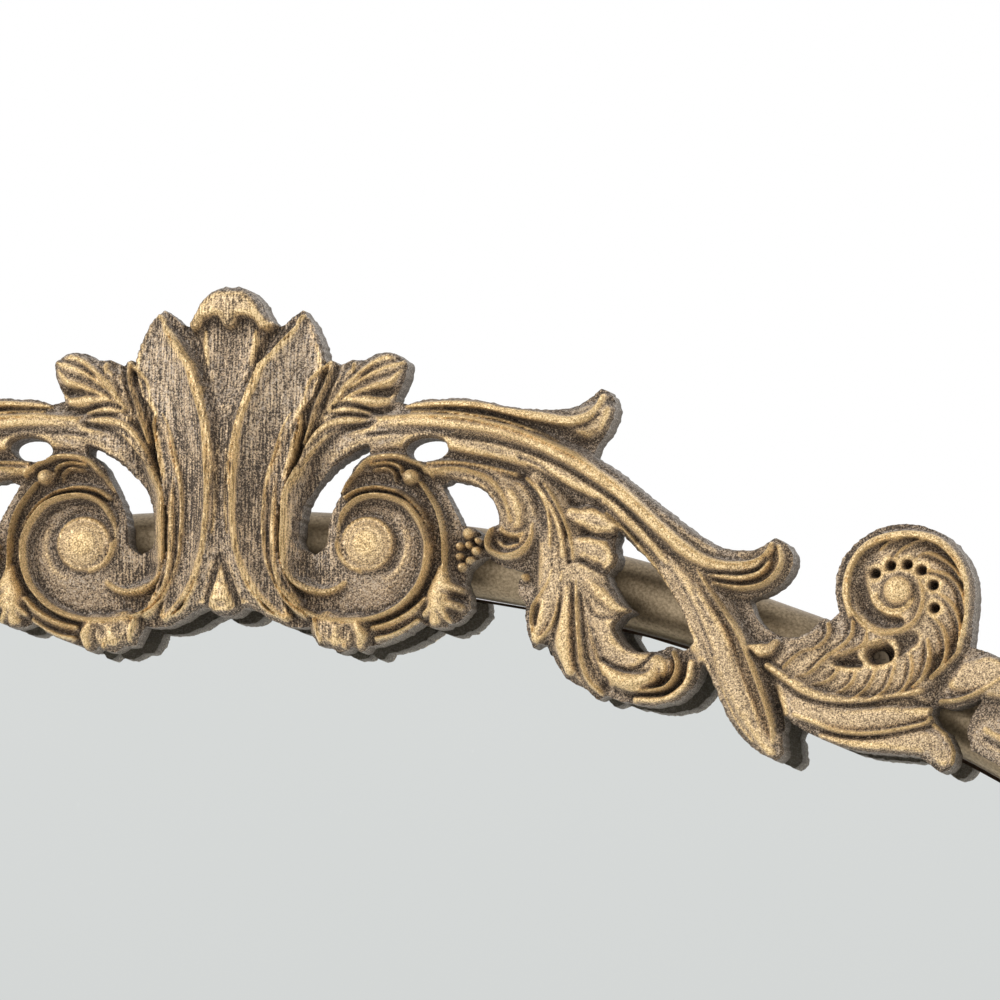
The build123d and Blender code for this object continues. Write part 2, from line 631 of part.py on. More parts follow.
def build():
    right_hub = hub()
    front_leg = leg(-1)
    back_leg = leg(1)
    bolt = stretcher_bolt()
    grub = post_set_screw()
    return {
        "frame_arch": frame_arch(),
        "frame_side_left": frame_side(-1),
        "frame_side_right": frame_side(1),
        "frame_bottom": frame_bottom(),
        "glass": arched_sheet(GLASS_INSET, GLASS_FRONT, GLASS_BACK),
        "mastic_pads": mastic_pads(),
        "backing_board": backing_board(),
        "retaining_clips": retaining_clips(),
        "clip_screws": clip_screws(),
        "crest": crest(),
        "crest_front_screws": crest_front_screws(),
        "crest_rear_screws": crest_rear_screws(),
        "pivot_boss_left": mirrored(pivot_boss()),
        "pivot_boss_right": pivot_boss(),
        "knob_left": mirrored(knob()),
        "knob_right": knob(),
        "stud_left": mirrored(stud()),
        "stud_right": stud(),
        "saddle_washers": saddle_washers(),
        "post_left": mirrored(post()),
        "post_right": post(),
        "finial_left": mirrored(finial()),
        "finial_right": finial(),
        "hub_left": mirrored(right_hub),
        "hub_right": right_hub,
        "leg_front_left": mirrored(front_leg),
        "leg_front_right": front_leg,
        "leg_back_left": mirrored(back_leg),
        "leg_back_right": back_leg,
        "glides": group([glide(side, way) for side in (-1, 1) for way in (-1, 1)]),
        "stretcher": stretcher(),
        "stretcher_bolts": group([bolt, mirrored(bolt)]),
        "post_set_screws": group([grub, mirrored(grub)]),
    }


os.makedirs("parts", exist_ok=True)
for node, shape in build().items():
    export_step(shape, f"parts/{node}.step")
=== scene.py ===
"""Looks of a cheval floor mirror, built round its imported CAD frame.

The frame is in metres with +Z up and the glass facing -Y.  The crest's carving is laid out in
millimetres: u to the right of the plane of symmetry, v up from the arch tube's centreline at
its apex, and z forwards from the back of the casting.
"""
import math

import bmesh
import bpy
import numpy as np
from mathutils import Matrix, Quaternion, Vector
from mathutils.geometry import tessellate_polygon


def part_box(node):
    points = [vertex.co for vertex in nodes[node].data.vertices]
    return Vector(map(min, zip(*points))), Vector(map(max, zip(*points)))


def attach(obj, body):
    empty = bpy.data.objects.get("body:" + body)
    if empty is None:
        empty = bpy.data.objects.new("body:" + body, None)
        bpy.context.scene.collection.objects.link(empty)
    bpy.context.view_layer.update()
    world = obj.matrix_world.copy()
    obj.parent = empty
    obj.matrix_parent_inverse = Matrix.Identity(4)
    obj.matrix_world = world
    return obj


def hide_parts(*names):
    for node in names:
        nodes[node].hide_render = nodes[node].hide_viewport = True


MM = 0.001
CAD_CREASE = 35      # degrees at which a CAD edge shows as sharp
CREST_CREASE = 62    # the same for the carving
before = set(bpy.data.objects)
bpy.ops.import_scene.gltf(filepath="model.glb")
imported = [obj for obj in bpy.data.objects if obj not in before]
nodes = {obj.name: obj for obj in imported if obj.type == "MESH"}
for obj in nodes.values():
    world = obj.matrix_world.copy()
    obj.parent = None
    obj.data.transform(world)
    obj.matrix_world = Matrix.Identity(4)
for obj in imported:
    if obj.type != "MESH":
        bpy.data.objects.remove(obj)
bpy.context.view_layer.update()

# ------------------------------------------------------------------ crest layout

arch_low, arch_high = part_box("frame_arch")
TUBE_R = -arch_low.y / MM
APEX_Z = arch_high.z - TUBE_R * MM
CREST_BACK_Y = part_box("crest")[1].y

CELL = 0.22             # grid step of the carving
U_MAX = 182.0
V_MIN = -63.0
V_MAX = 48.0
FOOT = 5.0              # height of the ground between the carved pieces
EDGE_Z = 6.6            # height of the carving's front edge
EDGE_ROUGH = 0.06       # crumbly unevenness of the outline
EDGE_ROLL = 1.5         # width over which the surface rolls down to that edge
PLAN_Z = 9.0            # the layout's points are where things appear at this height
LEAN_U = 0.2125         # sideways and upward lean of that drawing for each mm above PLAN_Z
LEAN_V = -0.086
BLEND = 0.5             # softness where two raised pieces meet
MIN_Z = 1.5
MAX_Z = 17.0
SAG = 1.3               # hollow of a sheet between its two edges
LINE_RISE = 0.7         # how far the thin line stands above a ridge's flanks
LINE_HALF = 0.34        # its half width
GROOVE_CUT = 0.4        # part of a groove's depth that is cut; the rest is only its painted shade and grime
GROOVE_SHADE_AND_GRIME = 0.55     # painted shade and grime of a groove for each mm of its depth
PIT_SHADE_AND_GRIME = 0.9         # painted shade and grime on a pit's floor
HOLLOW_SHADE_AND_GRIME = 0.3      # painted shade and grime on a hollow's floor
BEAD_PITCH = 0.85       # spacing of the beads in a beading
BEAD_DIP = 1.1          # how far it dips between them
LINE_STEP = 0.4         # spacing of the points along a row's line
RAISED = ("round", "ridge", "flat", "dome", "beading")
GRAIN = 0.075           # height of the sandy grain
TOOL_BLUR = 0.13        # softening of the tool marks
LUMP_BLUR = 0.9         # size of the low lumps left by the mould
LUMP_RISE = 0.12        # their height
FINE_BLUR = 0.28        # blurs whose differences find the lines, the veins and the leaves
MIDDLE_BLUR = 0.6
BROAD_BLUR = 2.2
LINE_RUB = 5.5          # wear of a line for each mm that it stands above its surroundings; below them, painted shade and grime
LEAF_RUB = 0.12         # the same for a whole leaf
GILT_LINE = 0.36        # half width of the gold rubbed on a ridge
GILT_FIELD = 0.3        # gold rubbed all over a rounded piece, against 1 on a ridge
GILT_DOME = 0.85        # gold on the domed eye of a scroll
COMBED_HALF = 26.0      # half width of the middle with combed, upright scratches
COMB_FADE = 8.0         # width over which the scratches fade out
RIB_PITCH = 0.00056     # metres between the fine upright ribs of the middle leaves
WALL_LEVELS = (0.97, 0.8, 0.55, 0.3, 0.08, 0.0)  # heights of the side wall's rings, edge to back

# Right half of the outline, clockwise from the top of the shell; runs meet at corners.
OUTLINE = [
    [(0, 45.4), (2, 45.3), (3.5, 44.8), (5, 43.7), (6.3, 42.3), (6.8, 41), (7.5, 39.7), (8.7, 38.5)],
    [(8.7, 38.5), (10, 38.9), (11.5, 40.2), (13.4, 41.3)],
    [(13.4, 41.3), (15.2, 39.2), (16.8, 35.8), (17.6, 33.6), (18, 31.8)],
    [(18, 31.8), (19.2, 32.2), (20.3, 31.4), (21.6, 31.7), (23, 32.3), (25, 32.2), (27, 33.2),
     (29.3, 33.6), (31.4, 32.9), (33, 31.8)],
    [(33, 31.8), (33, 30.6), (32.6, 28.5), (31.6, 26.6), (31, 24.7)],
    [(31, 24.7), (33, 24.3), (36, 25), (40, 25.2), (44, 25.3), (48, 24.6), (52, 23.8), (56, 23.4),
     (62, 23.4), (65, 24.5), (68.5, 27.2)],
    [(68.5, 27.2), (70, 26.4), (71, 25), (71.2, 22.5), (70.7, 20.6), (69.6, 18.6), (68.2, 17.1),
     (67.5, 14.9)],
    [(67.5, 14.9), (72, 12), (76, 8.8), (80, 5.7), (84, 2.7), (88, 0), (92.5, -1.9), (97.5, -2),
     (101, 0.1)],
    [(101, 0.1), (103, -1), (104.3, -3), (104.2, -5.4), (102.6, -7.7), (99.8, -9.8), (96.3, -11)],
    [(96.3, -11), (97.5, -14), (99.5, -16.2), (101.5, -17.2), (104.2, -18)],
    [(104.2, -18), (107, -17.2), (109.4, -15.1), (110.4, -14.3)],
    [(110.4, -14.3), (111.6, -14.7), (112.9, -13.2)],
    [(112.9, -13.2), (112, -9.5), (112.2, -6), (113.6, -2.9), (116.5, 0), (120, 2), (124, 2.7),
     (128.5, 2.1), (132.4, 0.2), (135.6, -3.2), (137.3, -7), (137.6, -12), (137.2, -16), (136.9, -19.4)],
    [(136.9, -19.4), (140, -20.4), (144, -22.2), (149, -25.5), (153, -29.5)],
    [(153, -29.5), (149.5, -30.8)],
    [(149.5, -30.8), (157, -34.5), (166, -41), (173, -49.5), (178, -60)],
    [(178, -60), (170, -58.6), (160, -53), (150, -45.8), (142.5, -40.8), (137.5, -38)],
    [(137.5, -38), (136.8, -34), (139.5, -28.7)],
    [(139.5, -28.7), (136, -30), (133.5, -30.5), (130.8, -30)],
    [(130.8, -30), (130.2, -31.6), (131, -33.4)],
    [(131, -33.4), (133.4, -35.4), (134.6, -38.4), (134, -41.2), (132, -42.2)],
    [(132, -42.2), (129.8, -40.5), (127.5, -39.2), (121, -38.6), (115, -37.8), (109.8, -35.9),
     (105.5, -33.6), (103.4, -31.8)],
    [(103.4, -31.8), (103, -35.5), (103.2, -38.8), (101.8, -40)],
    [(101.8, -40), (98, -38), (94.4, -34.4), (91.4, -29), (90, -25.5), (88.2, -22.4)],
    [(88.2, -22.4), (87, -25.8), (84, -28.9), (79, -30.1), (73.5, -29.3), (70.5, -28.3)],
    [(70.5, -28.3), (69, -29), (66.8, -27.2), (63.2, -25.2), (61.2, -22.4), (59.8, -19.4)],
    [(59.8, -19.4), (58.6, -19), (56.8, -19.7)],
    [(56.8, -19.7), (55.7, -16.8), (55.3, -13.6), (55.2, -11.6), (54, -10.2)],
    [(54, -10.2), (53.8, -8.4), (55, -5.8)],
    [(55, -5.8), (51, -4.9), (47.6, -3)],
    [(47.6, -3), (46, -4.3), (44.6, -5.6)],
    [(44.6, -5.6), (44.2, -8), (45, -10), (45.2, -12.6)],
    [(45.2, -12.6), (43.2, -14.8), (41.2, -15.7), (39.4, -16.2), (37.8, -15.9), (36, -15.2)],
    [(36, -15.2), (33.8, -16.8), (30, -18.6), (27, -19.4)],
    [(27, -19.4), (25.4, -20.6), (24, -19.5)],
    [(24, -19.5), (22.8, -20.2), (21.3, -20.4), (19.3, -19.4)],
    [(19.3, -19.4), (17.4, -19.2), (16.4, -17.4), (15.8, -15.9)],
    [(15.8, -15.9), (12, -15.9), (9.4, -15), (6, -13), (4.6, -12.5)],
    [(4.6, -12.5), (3.5, -12.9), (2.3, -13.9), (0, -14)],
]

# Through openings of the right half, each a closed list of runs.
OPENINGS = [
    [
        [(26.2, 16.6), (23.5, 15.4), (19.6, 12.8), (16.6, 9.6), (14.6, 6), (13.8, 2), (13.9, -1),
         (16.6, -3.2)],
        [(16.6, -3.2), (18.6, -1.4), (19, 1), (19.4, 4), (20.6, 7), (22.6, 11), (24.4, 13.8),
         (26.4, 15.2), (26.2, 16.6)],
    ],
    [
        [(39.4, 9.7), (41.4, 10.5), (44, 10), (46.4, 9.2), (48.6, 7.6), (50, 5.4), (50.5, 2.6)],
        [(50.5, 2.6), (48.6, 1.8), (47.4, -0.6)],
        [(47.4, -0.6), (46.4, 1.4), (43.2, 2.5)],
        [(43.2, 2.5), (42, 5), (39.4, 9.7)],
    ],
    [
        [(72.4, 1.5), (75.2, -1.4), (78, -4), (81, -8), (84, -12.6), (86.6, -18.8)],
        [(86.6, -18.8), (84.9, -20.1), (82.5, -19.4), (79.5, -20.2), (77.5, -20.5), (74.6, -19.6),
         (71.8, -16.2)],
        [(71.8, -16.2), (72.8, -14.8), (75.1, -13)],
        [(75.1, -13), (73, -11.2), (70.4, -6.6)],
        [(70.4, -6.6), (72.4, -4), (71.8, -1.4), (72.4, 1.5)],
    ],
]


def arc(u, v, r0, r1, a0, a1, count=13):
    """Points on a spiral arc round (u, v), from radius r0 at a0 degrees to r1 at a1."""
    turn = np.radians(np.linspace(a0, a1, count))
    radius = np.linspace(r0, r1, count)
    return list(zip(u + radius * np.cos(turn), v + radius * np.sin(turn)))


# The small oval opening, a little tilted.
OVAL_U, OVAL_V = 37.0, 16.0
OVAL = [(OVAL_U + 3.9 * u, OVAL_V + 2.1 * v + 0.22 * u) for u, v in arc(0, 0, 1, 1, 0, 360, 25)]

# Rows of the carving, in working order: (shape, height, half width, line).  Heights and widths
# are one number, or a few spread evenly along the line; a pair of such rows in a list is the
# width on the left and on the right of the line's direction.
MASSES = [
    ("mass", (8.5, 10.5, 13, 13.4, 11), (8, 12, 14, 14, 11),
     [(0, 42), (0, 30), (0, 15), (0, 0), (0, -14)]),
    ("mass", 8.6, 15, [(25, -2), (30, -2)]),
    ("mass", (8, 8.6, 8.2), 10, [(17, 24), (22, 26), (29, 28)]),
    ("mass", (8.6, 9.4, 9.4, 9.2, 9, 8.2), (9, 8, 8, 8, 8, 7),
     [(20, 17), (34, 20), (50, 18), (64, 13), (80, 2), (93, -5)]),
    ("mass", 8.4, (6, 8, 9, 9), [(56, 8), (62, -4), (63, -14), (72, -23)]),
    ("mass", 8.2, 6, [(50, 8), (53, 0)]),
    ("mass", 8.2, 5, [(68, 3), (70, -4)]),
    ("mass", (8, 8.8, 8.8, 8), (6, 9, 9, 5), [(78, -1), (86, -12), (94, -26), (101, -38)]),
    ("mass", 8, 14, [(110, -22), (122, -18), (126, -12)]),
    ("mass", 8.2, 8, [(104, -30), (118, -33), (131, -37)]),
    ("mass", 8, 9, [(136, -24), (144, -25), (152, -29)]),
    ("mass", 8, 8, [(140, -34), (156, -43), (174, -57)]),
]
SHELL = [
    ("hollow", (6.6, 6.8, 7.4, 9.4, 12.4), (4.2, 4.8, 4.4, 3, 1.6),
     [(0, 39.6), (0, 37.4), (0, 33), (0, 28), (0, 22)]),
    ("shade", 0.75, (1.4, 2.2, 1.6), [(-5.8, 37), (-3.4, 39), (0, 37.4), (3.4, 39), (5.6, 37)]),
    ("round", (10.8, 10.8, 10.6, 9.4), [(4.3, 4.3, 3.3, 1.9), (1.0, 1.1, 1.2, 1.1)],
     [(0, 41.2), (2.9, 41.2), (4.7, 40.4), (5.9, 38.8)]),
    ("round", (10.9, 10.9, 10.7), (2.3, 2.1, 1.3), [(-0.3, 41.2), (-0.3, 40.3), (-0.3, 39.4)]),
    ("ridge", (7.6, 8.2, 10.4, 13.2), (0.4, 0.9), [(4.9, 37.4), (4.7, 35), (4.2, 31), (3.2, 26)]),
    ("ridge", (11.4, 13.2, 13.8, 13.8, 13.4), 0.6,
     [(0.1, 20), (-0.1, 16), (-0.2, 11), (-0.1, 6), (0.4, 1)]),
    ("groove", 3, 0.9, [(8.6, 38.6), (7.2, 37), (6, 34.8), (5, 32), (4, 28)]),
    ("shade", (0.2, 0.75, 0.9, 0.8), (0.4, 1.0, 1.0), [(0, 44.9), (2.6, 44.6), (4.8, 43.2), (6.6, 40.6)]),
]
INNER_LEAF = [
    ("sheet", [(8, 8.6, 9.2, 9.6, 10, 10.6, 11, 11, 11, 10.4, 9.6), (8, 11, 13.2, 14.6, 15.4, 15.6, 15.6,
     15.6, 15, 12.6, 9.8)], (1.6, 4.2, 5.7, 4.9, 4.5, 3.7, 2.6, 2.5, 2.3, 2.0, 0.9),
     [(13.1, 39.4), (13.3, 36), (12.2, 32), (10, 28), (8, 24), (5.9, 18), (4.2, 12), (4.1, 4), (5, -3),
      (7.4, -9), (10.6, -13.6)]),
    ("ridge", (8.4, 11.2, 12.8, 14, 15, 15.6, 16, 16.2, 16.2, 16.2, 16, 15.4, 14, 12, 10, 9), [(0.6,),
     (0.9, 1.1, 1.5, 2, 2.4, 2.6, 2.2, 1.8, 1.6, 1.6, 1.8, 2.2, 2.6, 2.4, 1.6, 1)],
     [(12.3, 38.4), (9.8, 36), (8, 34), (6.6, 32), (5.6, 30), (4.8, 28), (3.8, 26), (3, 24), (2.3, 22),
      (1.7, 18.6), (1.3, 14), (1, 10), (1, 6), (1.2, 3), (1.6, 0), (2.2, -3), (3, -5.6), (4.2, -8.4),
      (6, -10.8), (8, -13), (11, -14.4)]),
    ("ridge", (8.8, 9.8, 9.6, 9.4), 0.6,
     [(18.4, 31.8), (16.8, 30.4), (15.2, 29), (14.4, 27), (14.2, 24.6)]),
    ("groove", 0.9, 0.5, [(17.4, 30), (15.8, 28.2), (15, 25.6), (14.8, 22.6)]),
    ("groove", 0.5, 0.35, [(13.2, 37), (9.6, 31), (6.2, 24), (4.2, 17)]),
    ("groove", 0.5, 0.35, [(15.6, 36), (13.2, 31), (9.8, 25), (6.8, 18)]),
]
SHEATH = [
    ("sheet", [(9, 11, 11.8, 12.2, 12.2, 11.8, 9.4), (9, 11, 11.8, 12.2, 12.2, 11.4, 9.4)], (0.4, 1.2,
     1.7, 1.6, 1.4, 1.3, 0.7),
     [(12.6, 23.4), (11.5, 19.6), (10.4, 14), (8.8, 8), (8.3, 0), (9.4, -6), (13, -11.6)]),
    ("ridge", (8.8, 10.6, 11.6, 12.2, 12.8, 12.8, 12.8, 12, 11.2, 10.6), [(0.6,), (1.0,)],
     [(13.6, 24.4), (12.6, 24), (11, 22), (9.8, 19.6), (8.6, 15.6), (7.2, 10.6), (6.8, 6), (6.9, 1),
      (7.2, -3), (8, -5.5), (9.3, -8.5), (11, -11), (13, -12.8), (14.5, -13.6)]),
    ("ridge", (8.8, 10.4, 11, 11.6), 0.6, [(12.8, 24), (13.2, 21.4), (12.6, 18), (11.4, 13.6)]),
    ("ridge", (12.6, 13.2, 13.4, 13.4, 13.4, 12.8, 11, 10, 9, 8.4), [(2.2, 3.2, 4, 4.2, 4, 3.2, 2.4, 1.8,
     1.4), (0.7,)],
     [(13.2, 14.2), (12, 12), (10.9, 10), (10.2, 7.6), (10, 3.6), (9.9, -0.4), (10.1, -4), (10.8, -6),
      (12.2, -7.8), (14.2, -8.9), (16.2, -9.5), (18.2, -9.7), (20.4, -9.1), (22, -8)]),
    ("round", (11, 12.6, 12.8, 12.6, 12, 10.6), (0.3, 0.8, 0.85, 0.8, 0.7, 0.5),
     [(8.9, 11.4), (8.7, 7), (8.5, 1), (8.9, -4.4), (10.2, -8.6), (13.2, -12.1)]),
    ("groove", 0.5, 0.35, [(7.8, 10), (7.6, 3), (7.9, -3), (9.2, -6.8), (11.4, -10)]),
    ("groove", 0.4, 0.35, [(9.7, 9), (9.3, 3), (9.4, -3), (10.3, -6.6), (12.6, -9.4), (15, -10.8)]),
    ("pit", (7.4, 6.8, 7.6), 2.2, [(14.5, -5.6), (17.5, -6.6), (20.3, -5.6)]),
]
OUTER_LEAF = [
    ("round", 8.6, (2, 3.4, 3), [(18, 23), (23, 27.4), (29, 31)]),
    ("round", 8.8, (2, 2.2, 2.2), [(17, 22), (22, 25), (28.4, 28)]),
    ("ridge", (8.2, 10.4, 11.2, 10.6, 10), (0.6, 1.0, 1.2),
     [(18.8, 31.8), (18.4, 30), (17.8, 28), (16.8, 26), (16, 23.4), (15, 20), (14.2, 17.4)]),
    ("ridge", (8.4, 9.8, 9.8), (0.6, 0.9), [(23, 31.6), (22.7, 29.6), (21, 27), (18.6, 23.4)]),
    ("ridge", (8, 9.8, 10.6, 10), (0.7, 1.1, 1.1, 0.8),
     [(29.6, 33.1), (27.2, 32.2), (24.6, 30.4), (21.8, 27.6), (19, 23.4)]),
    ("ridge", (8.2, 9.4, 9.6), 0.6, [(32, 31.8), (28.6, 30.8), (25.2, 29.2), (22.4, 27.2)]),
    ("ridge", (8.4, 10.2, 10.6, 10), (0.8, 1.1, 1.1, 0.9),
     [(31.8, 30.6), (29.6, 28.5), (26, 27.3), (22.4, 25.8), (18.6, 22.4)]),
    ("round", (8.8, 10.6, 10.4, 9.6), (0.8, 1.2, 1.0, 0.7),
     [(29, 24.7), (27, 24.8), (23.6, 25), (20, 23.6)]),
    ("round", (8.4, 9.6, 10, 10), (0.5, 0.8, 0.9, 0.8),
     [(26, 22.8), (23.4, 23.3), (20.4, 23), (18, 21.6)]),
    ("round", (8, 10, 11.2, 11.8, 12.6, 13), (0.8, 1.2, 1.5, 1.5, 1.2, 0.6),
     [(26, 21.4), (22, 21.3), (18.8, 20.4), (16.4, 18.4), (14.6, 16), (13, 13.6)]),
    ("groove", 2.6, 0.5, [(19.6, 23.6), (21.4, 24.2), (24, 24), (26, 23.4), (28.2, 22.8), (29.6, 23.4)]),
    ("groove", 1.2, 0.4, [(18.6, 22.4), (22, 22.4), (26, 22)]),
    ("groove", 3, 0.6,
     [(26.6, 20.7), (23, 20.2), (20, 19.8), (18, 18.6), (16, 16.4), (14.6, 14.6), (13.8, 13)]),
    ("groove", 2, 0.6, [(19.8, 31.4), (19.2, 29), (18.2, 26.4), (17, 23)]),
    ("groove", 1.4, 0.45, [(21.4, 31.4), (21, 29.4), (19.8, 26.6)]),
    ("groove", 1.4, 0.4, [(25.4, 32), (24, 30.9), (22.2, 29)]),
    ("groove", 1.4, 0.4, [(31.5, 32.4), (28.2, 31.6), (24.6, 29.6)]),
    ("groove", 1.2, 0.4, [(32.4, 31), (29, 29.6), (25.4, 28.3)]),
    ("pit", (7.2, 6, 7), (0.5, 1.0, 0.7), [(31, 27.6), (29.4, 26.6), (27, 26.4)]),
]
VOLUTE = [
    ("ridge", (10.6, 11, 11.4, 11.8, 12, 12, 12, 12, 11.6, 11.2, 11, 10.4, 9), [(0.5, 0.7, 1, 1.2, 1.4,
     1.4, 1.4, 1.4, 1.2, 1, 0.9, 0.8, 0.7), (0.55,)],
     [(13, -12.1), (16, -13.7), (18, -14.3), (20, -14.6), (22, -14.7), (24, -14.7), (26, -14.4),
      (28, -13.9), (30, -13.1), (32, -11.9), (33.6, -10.4), (35, -8.6), (36.2, -6), (36.7, -3.5),
      (36.8, -1), (36.4, 1), (35.5, 3), (34.3, 4.8), (32.8, 6.4), (31, 7.4), (29, 8), (26.8, 8.2),
      (24.6, 7.8), (22.8, 6.8), (21.3, 5.1), (20.5, 3), (20.2, 1), (20.3, -1), (21.1, -3.2), (22.7, -4.9),
      (25, -5.9)]),
    ("groove", 0.9, 0.3, arc(25.9, -1.6, 9.9, 9.4, -60, 34)),
    ("groove", 0.9, 0.3, arc(25.9, -1.6, 9.3, 8.8, -62, 36)),
    ("groove", 0.8, 0.3, arc(25.9, -1.5, 8.7, 8.2, -60, 38)),
    ("groove", 0.5, 0.3, arc(25.9, -1.4, 7.8, 7.4, -55, 40)),
    ("hollow", 7.4, 1.4, arc(26, -0.9, 5.9, 5.4, -50, 165, 25)),
    ("shade", (0.2, 0.8, 0.8, 0.8, 0.2), 1.1, arc(26, -0.9, 5.9, 5.5, -60, 160, 25)),
    ("dome", 9.8, 4.9, [(26, -0.9), (26, -0.8)]),
    ("beading", 9.6, 0.45, arc(26, -0.9, 4.6, 4.6, 0, 360, 33)),
    ("dome", 10.6, 4.0, [(26, -0.9), (26, -0.8)]),
    ("groove", 0.35, 0.35, arc(26, -0.9, 2.5, 2.5, 0, 360, 33)),
    ("beading", 10.2, 0.45,
     [(21.6, 7.6), (23.6, 8.8), (26.6, 9.4), (29, 9.2), (31.4, 8.5), (33.7, 7), (35.6, 5), (37, 2.4)]),
    ("ridge", (8.4, 9.4, 9.8, 9.8, 9), [(0.5,), (0.8,)],
     [(21, 8.8), (23.4, 11.8), (25.6, 14.2), (28.4, 15), (31.4, 15), (34, 14.1), (36.2, 13),
      (37.6, 11.6)]),
    ("ridge", (8.4, 9, 9), 0.4, [(26.4, 13.4), (29.4, 13.8), (31.6, 13), (32, 11.6)]),
    ("ridge", (8, 8.6, 8.6), 0.4, [(27, 12.4), (29.4, 12.7), (30.6, 11.8), (30.8, 10.6)]),
    ("pit", (5.6, 4.8, 6), 1.3, [(23.8, 10.3), (27, 11.2), (30.4, 10.2)]),
    ("shade", (0.9, 1, 0.9), (1.0, 1.6, 1.2), [(32, 8.6), (34.6, 8), (36.6, 5.6)]),
    ("round", 10.2, 1.6, [(33.3, 11.3), (33.5, 11.3)]),
    ("ridge", (9, 10.4, 11, 10.6, 10), 0.5,
     [(35.4, 10.2), (37, 7.8), (38.3, 5.4), (39.2, 2.4), (39.6, 0), (39.8, -3), (40, -6)]),
    ("groove", 0.6, 0.4, [(37, 5), (38, 2), (38.5, -1), (38.4, -4.4), (37.9, -7)]),
]
SKIRT = [
    ("ridge", (9, 10, 10, 9.6), [(1.2,), (2.0,)],
     [(27, -16), (29.6, -15.4), (32, -14.4), (34.6, -12.8), (36.8, -10.8)]),
    ("groove", 0.8, 0.35,
     [(26.8, -15.4), (29, -14.8), (31.6, -13.8), (34.4, -12), (36.4, -9.7), (37.6, -7)]),
    ("round", (9.4, 10, 9.6), 3.2, [(18.6, -15.8), (21.4, -16.6), (24, -16.4)]),
    ("ridge", (10.6, 10, 9), 0.7, [(16.2, -14.4), (16.8, -16.2), (17.5, -18.4)]),
    ("hollow", 9.0, 0.95, [(19, -16.7), (19.1, -16.8)]),
    ("groove", 0.8, 0.3, arc(19, -16.8, 1.1, 1.1, 0, 360, 15)),
    ("hollow", 9.0, 1.0, [(22.4, -17), (22.5, -17.6)]),
    ("groove", 0.8, 0.3, arc(22.5, -17.4, 1.3, 1.3, -60, 200, 15)),
    ("round", (10.4, 11, 9.4), (1.0, 1.35, 1.1), [(24.2, -15.4), (25, -17.2), (25.1, -19.2)]),
    ("groove", 1.2, 0.35, [(22.8, -15.8), (23.7, -17), (23.7, -19)]),
    ("groove", 1.4, 0.4, [(26.4, -15.2), (26.8, -17), (26.5, -19)]),
    ("round", 9, 0.7, [(20.2, -18.8), (20.3, -18.9)]),
    ("round", 9, 0.7, [(22.2, -19.4), (22.3, -19.5)]),
    ("ridge", (9.5, 9.5, 8.5), 0.8, [(27.8, -17.9), (30.4, -17.4), (33.4, -16), (35.6, -14.6)]),
    ("round", (9, 10.4, 11, 11, 9.5), (1.2, 2.2, 2.6, 2.4, 1.6),
     [(39.9, -5.6), (39.6, -8), (39, -10.4), (38.8, -12.6), (38.8, -14.6)]),
    ("round", (10.6, 9.6), (1.2, 0.8), [(40.4, -8.4), (43.2, -9.2)]),
    ("round", (10.6, 9.6), (1.2, 0.8), [(40.2, -11.4), (43, -12.2)]),
    ("round", (10.4, 9.2), (1.1, 0.7), [(38.2, -12), (36.8, -13.6)]),
    ("round", (10.2, 9), (1.0, 0.6), [(40, -13.2), (41.2, -14.8)]),
    ("groove", 0.9, 0.35, [(40.4, -9.8), (42, -10.2), (43.6, -10.6)]),
    ("groove", 0.9, 0.35, [(40.6, -6.6), (42, -7), (43.6, -7.2)]),
    ("groove", 0.8, 0.3, [(39.4, -13), (40, -14.2), (40, -15.4)]),
    ("bead", 9.8, 1.3, [(44.4, 1.1)]),
    ("bead", 9.4, 0.8, [(42.8, -1.2), (44.5, -1), (42.8, -3.1), (46.2, -0.2)]),
    ("bead", 9.6, 1.0, [(45.8, -2.1), (44.8, -3.9), (43.3, -5)]),
]
PENDANT = [
    ("round", (10.4, 12.6, 13, 9), (0.5, 1.2, 1.9, 1.2),
     [(-0.5, -6), (-0.5, -9.4), (-0.5, -12), (-0.4, -13.6)]),
    ("groove", 2.6, 0.7, [(0, -3.4), (1.3, -7), (2.2, -9.8), (3, -12.2)]),
]
UPPER_BRANCH = [
    ("round", (7.6, 8, 8.4, 8.8, 9), (1.4, 1.4, 1.6, 3, 3.4),
     [(35, 24), (46, 23.8), (56, 21.6), (63, 20.6), (68.4, 21.8)]),
    ("round", (8.4, 9.4, 9.8, 10.4, 11.2, 11, 8.6), (0.4, 0.6, 0.7, 1, 1.3, 1.2, 0.8),
     [(33, 24.1), (40, 24.5), (46, 24.3), (52, 23.1), (58, 21.9), (63, 21.4), (66, 22.4), (67.6, 23.8),
      (68.8, 25.6)]),
    ("ridge", (8.4, 9.8, 10.4, 11, 11.6, 11.6, 9), (0.4, 0.5),
     [(33, 23.8), (40, 24.1), (46, 23.8), (52, 22.4), (58, 21.2), (63, 20.8), (66.4, 21.8), (68.4, 24)]),
    ("groove", (1.6, 2.2, 3.2, 3.4, 3.4), (0.4, 0.5, 0.8, 1.2, 1.7),
     [(40, 23.6), (46, 23.1), (50, 22.3), (54, 21.1), (58, 20.1), (62, 18.9), (64.4, 17.6), (66.4, 16)]),
    ("ridge", (9, 10, 10.4, 10, 8.4), 0.5,
     [(34, 22.9), (40, 22.9), (46, 22.2), (50, 21.5), (54, 20.3), (58, 18.9), (61, 17.4)]),
    ("groove", 0.8, 0.4, [(60, 20), (63, 19.8), (66, 20.6), (68.6, 22.6)]),
]
